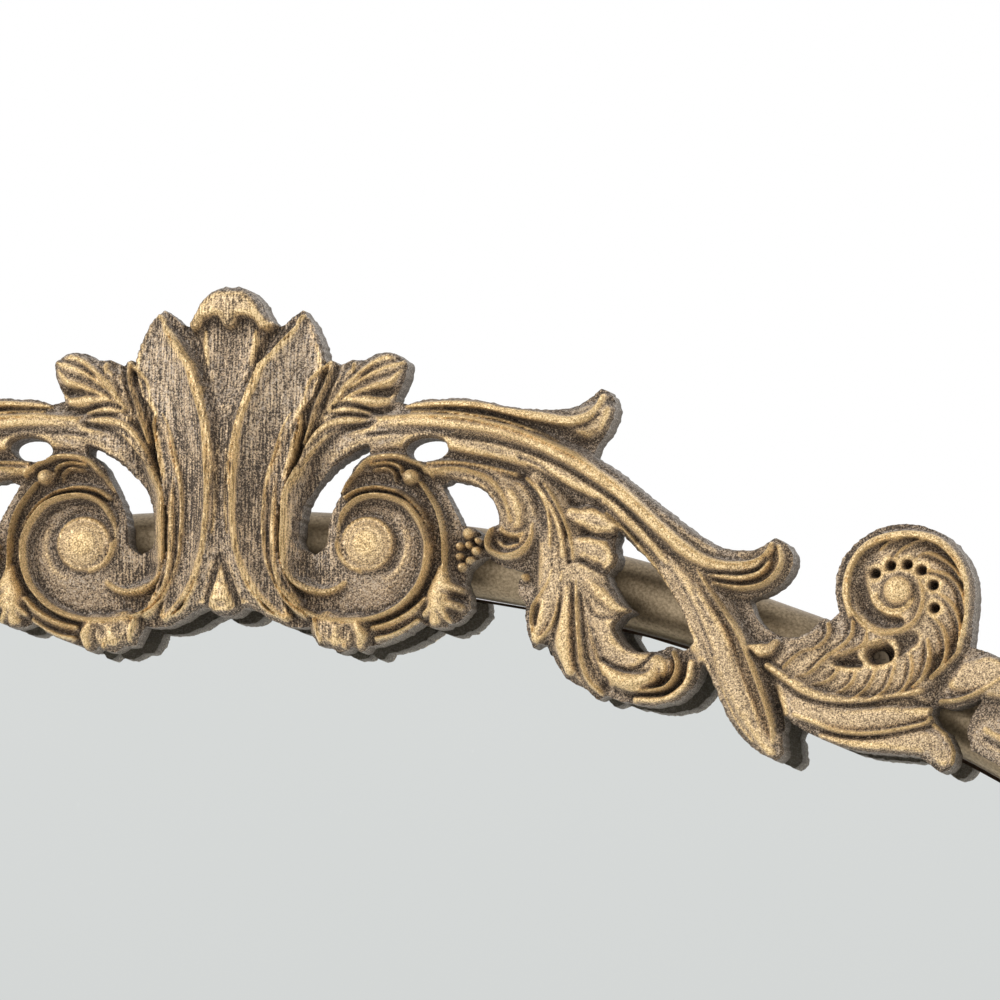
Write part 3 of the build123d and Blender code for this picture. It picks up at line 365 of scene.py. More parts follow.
S_BRANCH = [
    ("round", (7, 9, 10, 10, 10, 10, 9), (1.6, 2.4, 2.8, 3, 3.4, 3.8, 3.4),
     [(26, 20.2), (34, 20.4), (44, 19.4), (56, 16.6), (68, 10.4), (80, 1.2), (88, -4.4)]),
    ("round", (8.6, 11.4, 12, 12.2, 12.4, 12.2, 12, 10.8, 9), (0.8, 1.2, 1.3, 1.3, 1.4, 1.5, 1.5, 1.2,
     0.9),
     [(27, 20.2), (34, 21.1), (40, 20.9), (48, 19.7), (56, 17.3), (64, 13.5), (72, 8.4), (80, 1.5),
      (86, -3.2), (92, -5.1), (97, -4.8), (100, -2)]),
    ("ridge", (9, 11.8, 12.6, 12.8, 13, 13, 12.8, 12, 10), [(0.9,), (0.45,)],
     [(28, 21.4), (34, 22.1), (40, 22), (44, 21.7), (48, 20.9), (52, 19.9), (56, 18.5), (60, 16.8),
      (64, 14.8), (68, 12.2), (72, 9.5), (76, 6.1), (80, 2.5), (84, -0.8), (88, -3.4), (92, -4.4),
      (96, -4.1), (98.6, -2.8), (100, -0.8)]),
    ("groove", 1.0, 0.4,
     [(28, 19.9), (34, 20.1), (42, 19.5), (50, 18.4), (58, 15.6), (66, 11.4), (74, 5.6), (82, -1.6)]),
    ("groove", (1.8, 2.2, 2.6, 2.6), (0.4, 0.45, 0.5, 0.6),
     [(26, 18.8), (30, 19.2), (34, 19), (38, 18.8), (42, 18.4), (46, 18), (50, 17.3), (54, 16.2),
      (60, 14), (64, 12), (68, 9.4), (72, 6.8), (76, 3.2), (80, -0.9), (84, -4.2), (86.4, -6.4)]),
    ("round", (8.4, 9.4, 9.6, 9), 1.3,
     [(28, 17.5), (32, 17.8), (37, 18.2), (44, 16.6), (50, 15.4), (55, 14)]),
    ("round", (9.6, 9.8, 10, 9), (0.8, 1.0, 1.3, 0.5),
     [(51, 15.4), (56, 13.9), (62, 11), (66.6, 8.8), (70, 7.5)]),
    ("groove", 1.6, 0.4, [(54, 14.6), (57, 13.4), (60, 11.4), (63, 9.2), (66, 7.4), (69, 6.8)]),
    ("round", (9.6, 9.8, 9.6, 8.5), (0.5, 0.8, 0.8, 0.6),
     [(69.8, 7), (74, 3.4), (78, -0.6), (81, -4), (85, -7)]),
    ("groove", 1.6, 0.4, [(68, 6.6), (70, 5.6), (73, 2.6), (76.4, -1), (79.8, -5), (83, -9.4)]),
    ("ridge", 8.6, 0.4, [(70, 4.6), (73.2, 1.6), (77, -2.6), (80.6, -7), (83.4, -11.4)]),
]
S_CURL = [
    ("round", 7.6, 4.6, [(92, -6), (98, -6), (100.6, -4)]),
    ("round", (9, 10, 10.4, 10, 9), (0.5, 0.7, 0.8, 0.6),
     [(89, -6.5), (92, -6.9), (95, -7), (98, -6.1), (99.8, -4.2)]),
    ("ridge", (9, 10.4, 10.8, 10.4, 9), (0.7, 1.0, 1.1, 0.8),
     [(89.6, -7.9), (92, -8.4), (95, -8.7), (98.4, -8), (100.8, -6), (101.8, -3.8), (101.4, -1.2)]),
    ("groove", 1.6, 0.4, [(88, -5.8), (92, -6.1), (95, -6.2), (98, -5.3), (99.4, -3.4)]),
    ("groove", 1.6, 0.4,
     [(90, -7.3), (92.4, -7.7), (95.4, -7.8), (98.4, -7), (100.2, -5), (100.6, -2.6)]),
    ("groove", 1.4, 0.4, [(91, -9.2), (95, -9.7), (98.6, -9.2), (101.6, -7.4), (103, -5), (103.2, -2.4)]),
]
HOOK = [
    ("round", (8, 9, 9.6, 9.6, 9), (1.0, 1.8, 2.6, 3.6, 3.4),
     [(36.6, 12.6), (43, 12), (49, 10), (53, 6.6), (53.8, 2)]),
    ("beading", (8.8, 9.6, 9.6, 9), 0.6, [(37, 13.7), (42, 13.7), (46, 13.2), (50, 12.4), (53, 11.6)]),
    ("ridge", (8.6, 10.8, 11.4, 11.8, 11), [(0.8, 1, 1.2, 1.4, 1.4), (0.6, 0.8, 1.0, 0.9)],
     [(37, 12.2), (40, 12.8), (43, 12.6), (46, 11.8), (48, 10.8), (49.6, 9.3), (50.8, 7.5), (51.6, 5.6),
      (52.2, 3.4)]),
    ("round", (9.6, 10.8, 11, 10), (0.6, 1.4, 1.7, 1.2),
     [(50.4, 10.2), (52.4, 7.6), (53.4, 4.8), (53.6, 2.8)]),
    ("groove", 0.9, 0.4, [(38, 13.1), (43, 13.1), (47, 12.2), (50, 10.8)]),
    ("groove", 1.0, 0.35, [(39, 11.5), (43, 11.5), (46.6, 10.5), (49, 8.4), (50.6, 5.6)]),
    ("groove", 1.2, 0.4, [(50.8, 3.4), (51.6, 1.8), (53, 1.2), (54.4, 1.6), (55.6, 2.8)]),
    ("ridge", 9.6, 0.4, [(50.4, 1.8), (51.6, 0.8), (53, 0.4), (54.6, 1)]),
    ("pit", (6, 4.4, 6), (0.8, 1.0, 0.7), [(50, 0.6), (51.6, -0.2), (53.4, -0.2)]),
    ("ridge", (8.5, 10, 10.5, 10.4, 10, 9), [(0.6,), (1.2,)],
     [(48.8, 2), (47.9, 0.2), (48, -1.4), (49.4, -2.4), (51.4, -2.8), (53.4, -2.3), (55, -1.1), (56, 0.6),
      (56.3, 2.6)]),
    ("groove", 1.0, 0.4, [(48.4, -3), (50, -4.1), (52.4, -4.5), (54.8, -4.1)]),
]
ACANTHUS = [
    ("round", (8, 8.5, 9, 9, 8.8, 8), (1.5, 3.5, 5, 5.6, 4.6, 2),
     [(57, 11), (60.6, 5), (62, -2), (62.5, -9), (64, -17), (68, -26)]),
    ("round", 9, (2.4, 4, 3.4, 2), [(66, -5), (68.4, -10), (70, -15), (71, -20)]),
    ("round", (8.6, 9.8, 10.2, 9.6), (0.4, 1.0, 0.9, 0.6),
     [(57, 10.4), (60, 5.8), (61.6, 1.4), (62, -3)]),
    ("ridge", (8.5, 10, 10.6, 10.6, 9.6), [(0.6,), (0.4,)],
     [(58.2, 10), (59.8, 7.8), (61.2, 5.2), (62.4, 2.4), (63.2, 0), (63.7, -2), (64, -4)]),
    ("groove", 2.0, 0.4,
     [(57.6, 10), (59, 8), (60.6, 5.6), (62, 2.5), (62.8, 0), (63.1, -2), (63.3, -4.2)]),
    ("groove", 1.2, 0.4, [(63.2, -4.3), (65.4, -4), (66.4, -4.4)]),
    ("shade", (0.6, 0.9, 0.9, 0.6), (0.8, 1.6, 1.6, 1.0), [(54.6, 10), (57, 7), (58.4, 4), (58.2, 0)]),
    ("groove", (1, 2, 2, 1), (0.6, 1.2, 1.2, 0.8), [(55.6, 9.4), (57.6, 6), (58.4, 3.4), (58.4, 0)]),
    ("ridge", 9.2, 0.4, [(55, 11), (57.4, 8.6), (59, 5.4), (59.6, 2), (59.8, -1.4)]),
    ("groove", 0.8, 0.3, [(60.4, 1), (60.2, -3), (60.4, -6)]),
    ("groove", 0.8, 0.3, [(61.6, 0), (61.5, -3), (61.8, -6)]),
    ("round", (8.6, 9.4, 9.2, 8.4), (1.2, 2.1, 2.1, 1.0),
     [(59.8, -8), (59, -12), (58, -15.6), (57.2, -18)]),
    ("ridge", (9, 10, 9.6, 8.4), (0.5, 0.7),
     [(60.2, -5.6), (59.2, -8.2), (57.6, -10.2), (56.4, -12.2), (56.2, -14.4), (56.5, -16.4),
      (57, -18.2)]),
    ("ridge", (9, 10.2, 10, 8.6), 0.6,
     [(62, -6), (61.6, -10), (61, -13), (60.2, -15.2), (58.8, -17.2), (57.4, -18.6)]),
    ("hollow", (7.6, 7, 7.6), (0.4, 0.6, 0.4), [(57.8, -12), (57.2, -14), (57.2, -15.4)]),
    ("bead", 9, 0.7, [(54.8, -6.8)]),
    ("round", (9.4, 10.2, 10.2, 9), (0.9, 1.5, 2.0, 1.2),
     [(63, -9), (62.8, -14), (62.4, -19), (63.6, -23.6)]),
    ("groove", 1.6, 0.4, [(61.9, -8), (61.7, -13), (60.8, -16.6), (60.2, -19)]),
    ("groove", (1.2, 2, 2, 1.6), 0.4,
     [(64.1, -8), (64.1, -14), (64.3, -19), (64.9, -23), (66.4, -26), (68.6, -28.2)]),
    ("ridge", (9, 10.8, 11, 10.4, 9), [(0.7,), (0.35,)],
     [(64.6, -7.4), (64.7, -13), (65, -18), (65.5, -22), (67, -25.6), (69.2, -27.8)]),
    ("groove", 1.4, 0.35, [(65.4, -10), (65.9, -14.6), (66.4, -18.6), (67.4, -22.6), (69.2, -26)]),
    ("ridge", (8.6, 9.8, 9.4), 0.5, [(66.6, -13.6), (67.4, -17.4), (68.6, -21), (70, -24.4)]),
    ("round", (9.4, 10.2, 10, 8.8), (1.2, 2, 1.8, 0.7),
     [(67, -7.6), (69.4, -10.2), (71.4, -12), (74.2, -13)]),
    ("groove", 1.5, 0.4, [(66.6, -11), (67.6, -13), (68.6, -14), (71, -14.2), (73.4, -14.4)]),
    ("round", (9, 9.6, 9), (1.0, 1.8, 1.4), [(68.6, -15.6), (70.6, -18.4), (74, -21.2)]),
    ("pit", 6, 0.8, [(70, -26.2), (70.4, -26.6)]),
]
ACANTHUS_CURL = [
    ("round", (8.8, 9.2, 8.8), (2, 2.4, 2.2), [(72, -20.6), (76, -22), (80.5, -23)]),
    ("round", (9.4, 10.8, 11, 10.4, 9), (0.8, 1.5, 1.8, 1.6, 1.0),
     [(69.6, -22.6), (72, -24.8), (75, -25.6), (78, -24.8), (79.8, -22.4)]),
    ("groove", 2.0, 0.4,
     [(69.8, -21.8), (72, -23.2), (74.2, -23.8), (76.4, -23.2), (78.2, -21.6), (79, -20)]),
    ("ridge", (8.6, 9.8, 10, 9.6, 8.6), (0.6, 0.8),
     [(82.4, -20.4), (83, -22.4), (82.6, -24.6), (81, -26.5), (78, -27.2), (74, -27), (71.4, -26)]),
    ("groove", 1.4, 0.4, [(80.6, -21), (81.6, -23), (80.8, -25.2), (78.6, -26.4)]),
    ("groove", 1.6, 0.5,
     [(84.4, -20.6), (84.6, -23.6), (83.2, -26.2), (80.6, -28), (76.6, -28.2), (72, -27)]),
    ("round", (8, 8.8, 8.8, 8), 0.9, [(86, -22.4), (85, -26), (81.4, -28.8), (76, -29)]),
]
BALLS = [
    ("flat", (9, 9.8, 9.8, 9.4), (1.6, 2.4, 2.2, 0.9),
     [(63.6, 4.4), (66.4, 3.8), (69, 2.8), (71.6, 1.8)]),
    ("flat", (9, 9.6, 9.8, 9.2), (1.6, 2.4, 2.6, 1.4),
     [(63.8, -0.8), (66.6, -1.8), (69.4, -3), (70.6, -4.6)]),
    ("groove", 2.2, 0.4, [(65.7, 2.1), (66.6, 1.0), (68.4, 0.3), (70.4, 0.3), (71.9, 1)]),
    ("groove", 2.2, 0.45, [(65.4, -3.9), (67.4, -5), (69.4, -6), (70.8, -6.4)]),
    ("groove", 0.7, 0.35, [(66.4, 2.2), (68.4, 1.4), (70.4, 1.3), (71.6, 1.7)]),
    ("groove", 0.7, 0.35, [(66.4, -3.4), (68.4, -4.4), (70, -5)]),
    ("groove", 1.6, 0.4, [(63, 6.8), (64.6, 5.6), (66.4, 5.4), (67.8, 6), (68.8, 5.6)]),
]
SPEAR = [
    ("round", (7.5, 8.6, 9.4, 9.4, 9.2, 8.8, 7.5), (2, 4.6, 5.6, 5.4, 5.2, 4.6, 2),
     [(78, -1), (83, -6.5), (88, -13.4), (92, -21), (95.5, -28), (99, -34), (101.4, -38.6)]),
    ("round", (8.6, 10.4, 10.8, 10.8, 10.4, 8.8), (1.0, 2.2, 2.6, 2.8, 2.4, 1.0),
     [(81, -3.4), (85.4, -9), (90, -16.4), (93, -24), (95.8, -30), (98.6, -35.2), (100.6, -38.2)]),
    ("ridge", (9, 11, 11.6, 11.6, 11.2, 9), [(0.9, 1.2, 1.2, 1.0, 0.7), (0.4,)],
     [(86.8, -5.6), (88.4, -8.4), (90.2, -11), (92, -13.7), (94, -17), (95.6, -20.6), (97, -24),
      (98.4, -27.4), (99.7, -31), (100.6, -34), (101, -36.6)]),
    ("groove", (0.8, 1.2, 1.4, 1.2, 0.8), 0.36,
     [(88, -9.4), (90.6, -13), (93.2, -17.4), (94.8, -22), (96.6, -26.4), (98.2, -30), (99.5, -34.4)]),
    ("groove", 0.7, 0.3, [(93.4, -20), (95, -25), (97, -30), (98.2, -34)]),
    ("groove", 0.7, 0.3, [(86, -7.6), (87.6, -11.4), (90, -15.4)]),
    ("ridge", (8.4, 9.4, 9.4, 8.4), 0.4,
     [(81, -5.4), (84, -9.7), (87, -15.7), (88.8, -19.6), (90.6, -23.8), (92.4, -28.4), (94.6, -33),
      (97.4, -36.4)]),
    ("groove", 0.8, 0.3,
     [(79.6, -5.4), (83, -10.2), (86, -15.6), (88.2, -19.4), (89.8, -23.4), (91.6, -28), (94, -33),
      (97, -36.8)]),
    ("groove", 1.2, 0.35, [(81.6, -5), (84.8, -9.4), (87.8, -15), (90.2, -21)]),
    ("flat", 9.4, (0.6, 1.5, 1.3, 0.8), [(96.6, -19.4), (98.4, -20), (100, -19.8), (101.2, -18.6)]),
    ("pit", (7, 4.6, 4, 4.4), (0.5, 0.9, 1.1, 1.0),
     [(99.6, -24.8), (100.6, -27.6), (101.6, -30.8), (102.2, -34)]),
]
GARLAND = [
    ("round", 8.3, 7, [(107, -22.5), (115, -24.5), (124, -25)]),
    ("round", (8.5, 9.8, 10, 9.8, 9), (0.8, 1.3, 1.1, 0.7, 0.6),
     [(99.8, -22.8), (103, -24.9), (106.6, -27), (110, -28.3), (114, -29), (118, -29), (122, -28.3),
      (125, -27.9), (128, -27.2)]),
    ("groove", 1.6, 0.4,
     [(101, -25), (103.4, -26.6), (107, -28.7), (110, -29.6), (114, -29.9), (118, -29.7), (122, -29),
      (126, -28.8), (129.6, -30.4)]),
]
FEATHERS = [
    [(110.6, -15.2), (110.8, -16.6), (110, -18.2), (108.4, -19.4), (106, -20.1), (104.2, -21.4),
     (102.6, -23)],
    [(115.2, -14.8), (115, -17), (113.6, -18.8), (111.2, -20.4), (109.4, -22), (107.6, -23.8),
     (104.8, -24.8)],
    [(118, -16.6), (117.4, -18.6), (115, -20), (112, -21.2)],
    [(112.8, -23.2), (112, -24.4), (110.6, -25.4), (109, -26), (107, -26.4)],
    [(116, -23.8), (115.6, -25), (114.5, -26.4), (112.8, -27.4), (110.6, -27.9)],
    [(119.7, -23.2), (118.8, -25.4), (117.6, -27), (116, -28.2), (114, -28.8)],
    [(123.2, -22.5), (122.4, -25), (121.4, -26.9), (119.6, -28.2), (117.5, -28.9)],
    [(126, -21), (126.1, -23.4), (125.4, -25.8), (124, -27.4), (122.2, -28.1)],
    [(129, -18), (129.1, -20.5), (128.8, -22.5), (128, -24.8), (126.2, -26.6)],
    [(130, -14), (131.5, -15.8), (132.1, -18), (132.1, -20.5), (131.5, -22.6), (129.4, -24.8)],
    [(131, -9.8), (133, -11.4), (134.2, -13.6), (134.7, -16.6), (134.4, -19.8)],
    [(128.6, -5.8), (131, -6), (133.4, -7.2), (134.9, -9.6), (135.6, -12.4)],
    [(126, -4), (127.2, -2.9), (129, -2.6), (131.2, -3.5), (133.4, -5.2), (135, -7.4)],
    [(122.8, -3.4), (123.6, -2), (125.4, -0.8), (128.2, 0)],
    [(120, -2), (121.3, -0.7), (123.6, 0.2)],
]
OUTER_SCROLL = [
    ("round", 8.5, 10.6, [(123.6, -9), (126, -11.5)]),
    ("round", (8.6, 9.4, 9.6, 9.4, 9), (0.6, 0.7, 0.8, 0.9, 0.8),
     [(114.8, -13.8), (113.6, -9.6), (114.6, -4.6), (118, -0.6), (124.2, 1), (130.6, -0.2), (135, -4.6),
      (136.2, -12), (135.6, -17)]),
    ("ridge", (8.8, 9.8, 10.2, 10.2, 10.2, 9.8, 9.2), [(0.4,), (0.6,)],
     [(130.4, -24.2), (132.8, -22.2), (134.4, -20), (135.3, -16), (135.8, -11.6), (135.2, -7.2),
      (133.4, -3.8), (130.6, -1), (127.4, 0.3), (124.4, 0.5), (121.2, 0), (118, -1.2), (115.9, -3),
      (114.7, -5.4), (114.2, -8), (114.4, -11.4), (115.8, -13.9), (117.8, -16)]),
    ("pit", (7, 5.6, 5.4, 6), (1.0, 1.6, 1.6, 1.0),
     [(116.4, -5.6), (116.6, -9.4), (118, -12.6), (120.6, -14.7), (123.8, -15)]),
    ("shade", 0.8, (1.4, 2.4, 2, 1), [(118.4, -3.4), (116.8, -8), (118.4, -12.6), (123, -15)]),
    ("ridge", (9, 10, 10.4, 10.2, 9.4), [(0.5,), (0.5,)],
     [(118.4, -16.4), (120.6, -16.9), (123, -16.6), (125, -15.8), (126.7, -14.3), (127.7, -12),
      (127.9, -9.6), (127.3, -7.6)]),
    ("ridge", 8.8, 0.4, arc(123.1, -9.4, 4.6, 3.6, 190, 340)),
    ("ridge", 9.2, 0.4, arc(123.1, -9.4, 3.6, 3.2, 185, 330)),
    ("beading", 9, 0.5, arc(123.2, -9.5, 4.6, 4.5, 5, 120)),
    ("dome", 11, 2.9, [(123.1, -9.1), (123.1, -9.0)]),
]
DRILLED = [(119.2, -6.2), (122, -4.8), (125, -4.6), (127.6, -5.6), (129.8, -8.3), (130.1, -12.4)]
SCREW_HOLE = (120.4, -20.8)
SCREW_AREA = [
    ("pit", (6.6, 6, 6, 6.6), (1.0, 2.0, 2.6, 1.6),
     [(112.6, -22), (117, -21.4), (121, -20.4), (126, -18)]),
    ("round", 8.2, 0.9, arc(120.2, -20.3, 3.1, 3.1, 0, 360, 25)),
    ("pit", 5, (0.4, 0.8, 0.5), [(112.8, -22.2), (114.4, -22.4), (116.6, -22.4)]),
    ("pit", 1.6, 1.7,
     [(SCREW_HOLE[0] - 0.9, SCREW_HOLE[1] - 0.2), (SCREW_HOLE[0] + 0.9, SCREW_HOLE[1] + 0.2)]),
    ("shade", 1.0, 1.9,
     [(SCREW_HOLE[0] - 0.9, SCREW_HOLE[1] - 0.2), (SCREW_HOLE[0] + 0.9, SCREW_HOLE[1] + 0.2)]),
]
LOWER_LEAF = [
    ("round", (8, 9.4, 9.8, 9.6, 8.4), (1.2, 2.2, 2.4, 2.4, 1.2),
     [(103.6, -29), (109, -31.4), (116, -32.4), (123, -31.8), (129.4, -31.2)]),
    ("ridge", (8.6, 10, 10.4, 10.2, 8.8), [(0.6,), (0.5,)],
     [(105, -31.6), (109, -33.2), (112, -34.3), (116, -34.9), (120, -34.8), (124, -34.2), (127, -33.5),
      (129, -32.9), (130.4, -31.2)]),
    ("groove", 1.0, 0.32,
     [(105.4, -32.8), (109, -34), (112, -35), (116, -35.6), (120, -35.5), (124, -34.9), (128, -34),
      (130.4, -33.4)]),
    ("round", (7.6, 8.8, 9, 8.8, 7.8), (0.8, 1.2, 1.5, 2.2, 1.6),
     [(110, -35.6), (117, -37), (124, -36.8), (130, -36.8), (132.6, -39.6)]),
    ("ridge", (8.4, 9.4, 8.4), 0.5, [(130.4, -33.4), (132.8, -35.4), (134, -38), (133.8, -40.8)]),
]
RIGHT_LEAF = [
    ("round", (7.8, 9, 9, 7.6), (2, 4, 4, 1.4),
     [(134.6, -25.4), (139.6, -24.6), (145, -25.4), (151.4, -28.6)]),
    ("ridge", (8.4, 9.8, 9.8, 8), 0.6,
     [(131.4, -29.2), (134.4, -28.9), (137.4, -27.9), (140.6, -26.2), (144, -24.4), (149, -26),
      (152, -28.8)]),
    ("shade", (0.5, 0.9, 0.8), 1.5, [(134.6, -21.8), (132.4, -25), (129, -27.6)]),
    ("groove", 1.6, 1.2, [(134.6, -21.8), (132.4, -25), (129, -27.6)]),
    ("round", (7.6, 8.8, 8.8, 7.4), (1.4, 3.4, 3.4, 1),
     [(139.4, -33.6), (150, -38.6), (162, -47), (176, -58.6)]),
    ("ridge", (9, 10.2, 10.2, 8.2), 0.9, [(140, -34.4), (150, -39.6), (162, -48), (176.6, -59)]),
    ("groove", 1.4, 0.5, [(140, -36), (150, -41.6), (162, -50), (172, -57.6)]),
    ("shade", (0.5, 0.9, 0.9, 0.5), (0.8, 1.6, 1.6, 1.2),
     [(136.6, -35.6), (137.6, -33.2), (139.6, -31.6), (143, -31.2)]),
]
# Painted shade on valleys and on flanks turned from the light, darkening without any cut.
PAINTED_SHADE = [
    ("shade", (0.95, 0.4, 0.8, 0.8, 0.6, 0.3), (4.6, 3.0, 2.6, 2.4, 2.0, 1.6),
     [(-0.6, 37), (-1.4, 31), (-0.6, 24), (-0.4, 14), (-0.4, 4), (-0.4, -4)]),
    ("shade", (0.2, 0.8, 0.9, 0.9, 0.3), (1, 2.2, 2.2, 1.9, 1.4),
     [(9.8, 26), (7.6, 18), (5.4, 10), (4.7, 3), (5.4, -5)]),
    ("shade", (0.5, 0.8, 0.8, 0.4), (1.4, 2.2, 2.2, 2), [(11.5, -5), (15, -6.6), (18.6, -6.8), (22, -6)]),
    ("shade", 0.8, (0.6, 1.2, 1.2, 0.8), [(13.6, -10.2), (16.4, -11.4), (20, -12.6), (25, -13)]),
    ("shade", (0.6, 0.8, 0.6), 1.8, [(13.6, -1), (14, 3), (16, 8), (20, 12.6), (26, 17)]),
    ("shade", (0.4, 0.7, 0.5), 0.9, [(19, 31), (17.8, 27), (15.6, 21)]),
    ("shade", 0.8, 1.8, [(23.6, 10.4), (27, 11.6), (32, 11)]),
    ("shade", 0.8, 1.1, [(33.4, 8.8), (36.4, 5), (38, 0)]),
    ("shade", 0.6, 1.2, [(31.6, 2), (31.2, -1.6), (29.8, -4.6)]),
    ("shade", (0.3, 0.6, 0.5), 1.4, [(42.6, -4), (43, -8), (43, -12)]),
    ("shade", (0.5, 0.9, 0.9), 1.8, [(58, 19.8), (62.6, 18.6), (66.4, 16.4)]),
    ("shade", (0.4, 0.7, 0.4), 1.2, [(66.4, -14), (67, -18), (69.4, -22)]),
    ("shade", (0.5, 0.6, 0.4), 2.4, [(90.6, -9.4), (94, -12.6), (97, -15.6)]),
    ("shade", (0.4, 0.9, 0.9), 1.4, [(99.4, -25), (101, -29), (102.6, -33)]),
    ("shade", 0.45, 2.4, [(101, -20), (104, -20), (109, -17.4)]),
    ("shade", 0.5, 1.0, [(108, -26.6), (112, -28), (115, -28.6)]),
]
GROUND_GRAIN = [
    ("grain", 0.1, 4, [(91, -10), (94, -14.6), (99, -17.4)]),
    ("grain", 0.09, 2.4, [(36, 22.8), (50, 21.8), (64, 16), (76, 7.4), (86, -0.4), (94, -3.4)]),
    ("grain", 0.08, 3, [(76, -22.4), (82, -26.4), (84.6, -24)]),
]


def feather_rows():
    """A thin ridge for every feather, with a fine scratch beside it."""
    rows = []
    for line in FEATHERS:
        rows.append(("ridge", (9, 9.9, 10, 9.6), [(0.5,), (0.35,)], line))
        rows.append(("groove", 1.0, 0.34, [(u - 0.75, v - 0.35) for u, v in line]))
    return rows


def drilled_rows():
    """Small drilled hollows round the scroll's eye."""
    return [("pit", 3.6, 0.95, [(u, v), (u + 0.1, v)]) for u, v in DRILLED]


CARVING = (MASSES + SHELL + INNER_LEAF + SHEATH + OUTER_LEAF + UPPER_BRANCH + S_BRANCH + VOLUTE
           + SKIRT + PENDANT + HOOK + ACANTHUS + ACANTHUS_CURL + BALLS + S_CURL + SPEAR + GARLAND
           + OUTER_SCROLL + feather_rows() + drilled_rows() + SCREW_AREA + LOWER_LEAF + RIGHT_LEAF
           + PAINTED_SHADE + GROUND_GRAIN)


# ------------------------------------------------------------------ crest engine

def smooth_line(points, step):
    """Evenly spaced points on a smooth curve through the given ones, and their spacing."""
    p = np.asarray(points, float)
    if len(p) > 2:
        p = hermite(p)
    leg = np.hypot(*np.diff(p, axis=0).T)
    run = np.concatenate([[0], np.cumsum(leg)])
    count = max(2, int(math.ceil(run[-1] / step)) + 1)
    at = np.linspace(0, run[-1], count)
    line = np.stack([np.interp(at, run, p[:, 0]), np.interp(at, run, p[:, 1])], axis=1)
    return line, run[-1] / (count - 1)


def hermite(p):
    """Centripetal Catmull-Rom curve through the points, as a fine polyline."""
    ext = np.vstack([2 * p[0] - p[1], p, 2 * p[-1] - p[-2]])
    knot = np.concatenate([[0], np.cumsum(np.sqrt(np.hypot(*np.diff(ext, axis=0).T)))])[:, None]
    a, b, c, d = ext[:-3], ext[1:-2], ext[2:-1], ext[3:]
    ta, tb, tc, td = knot[:-3], knot[1:-2], knot[2:-1], knot[3:]
    gap = tc - tb
    m1 = gap * ((b - a) / (tb - ta) - (c - a) / (tc - ta) + (c - b) / gap)
    m2 = gap * ((c - b) / gap - (d - b) / (td - tb) + (d - c) / (td - tc))
    t = np.linspace(0, 1, 13)[:-1][:, None, None]
    curve = ((2 * t ** 3 - 3 * t ** 2 + 1) * b + (t ** 3 - 2 * t ** 2 + t) * m1
             + (-2 * t ** 3 + 3 * t ** 2) * c + (t ** 3 - t ** 2) * m2)
    curve = curve.transpose(1, 0, 2).reshape(-1, 2)
    return np.vstack([curve, p[-1]])


def along(values, s):
    """A number, or a few spread evenly along a line, read at s from 0 to 1."""
    row = np.atleast_1d(np.asarray(values, float))
    if len(row) == 1:
        return np.full(np.shape(s), row[0])
    return np.interp(s, np.linspace(0, 1, len(row)), row)


def leaned(points, height):
    """True place of layout points at that height."""
    p = np.asarray(points, float)
    rise = (along(height, np.linspace(0, 1, len(p))) - PLAN_Z)[:, None]
    return p + rise * np.array([[LEAN_U, LEAN_V]])


def soft_max(a, b):
    """The larger of two heights with a small fillet between them."""
    gap = np.maximum(BLEND - np.abs(a - b), 0)
    return np.maximum(a, b) + gap * gap / (4 * BLEND)


def section(shape, x):
    """Cross-section of a raised piece: 1 on its line and 0 at its half width."""
    if shape == "ridge":
        return 1 - x ** 1.2
    if shape == "flat":
        return 1 - x ** 6
    if shape == "dome":
        return np.sqrt(1 - x ** 2.6)
    return (1 - x ** 2.4) ** 0.6


def plan_height(shape, height):
    """Height at which a row's points were laid out."""
    if shape in RAISED:
        return height
    if shape == "sheet":
        return 0.5 * (np.mean(height[0]) + np.mean(height[1]))
    return PLAN_Z


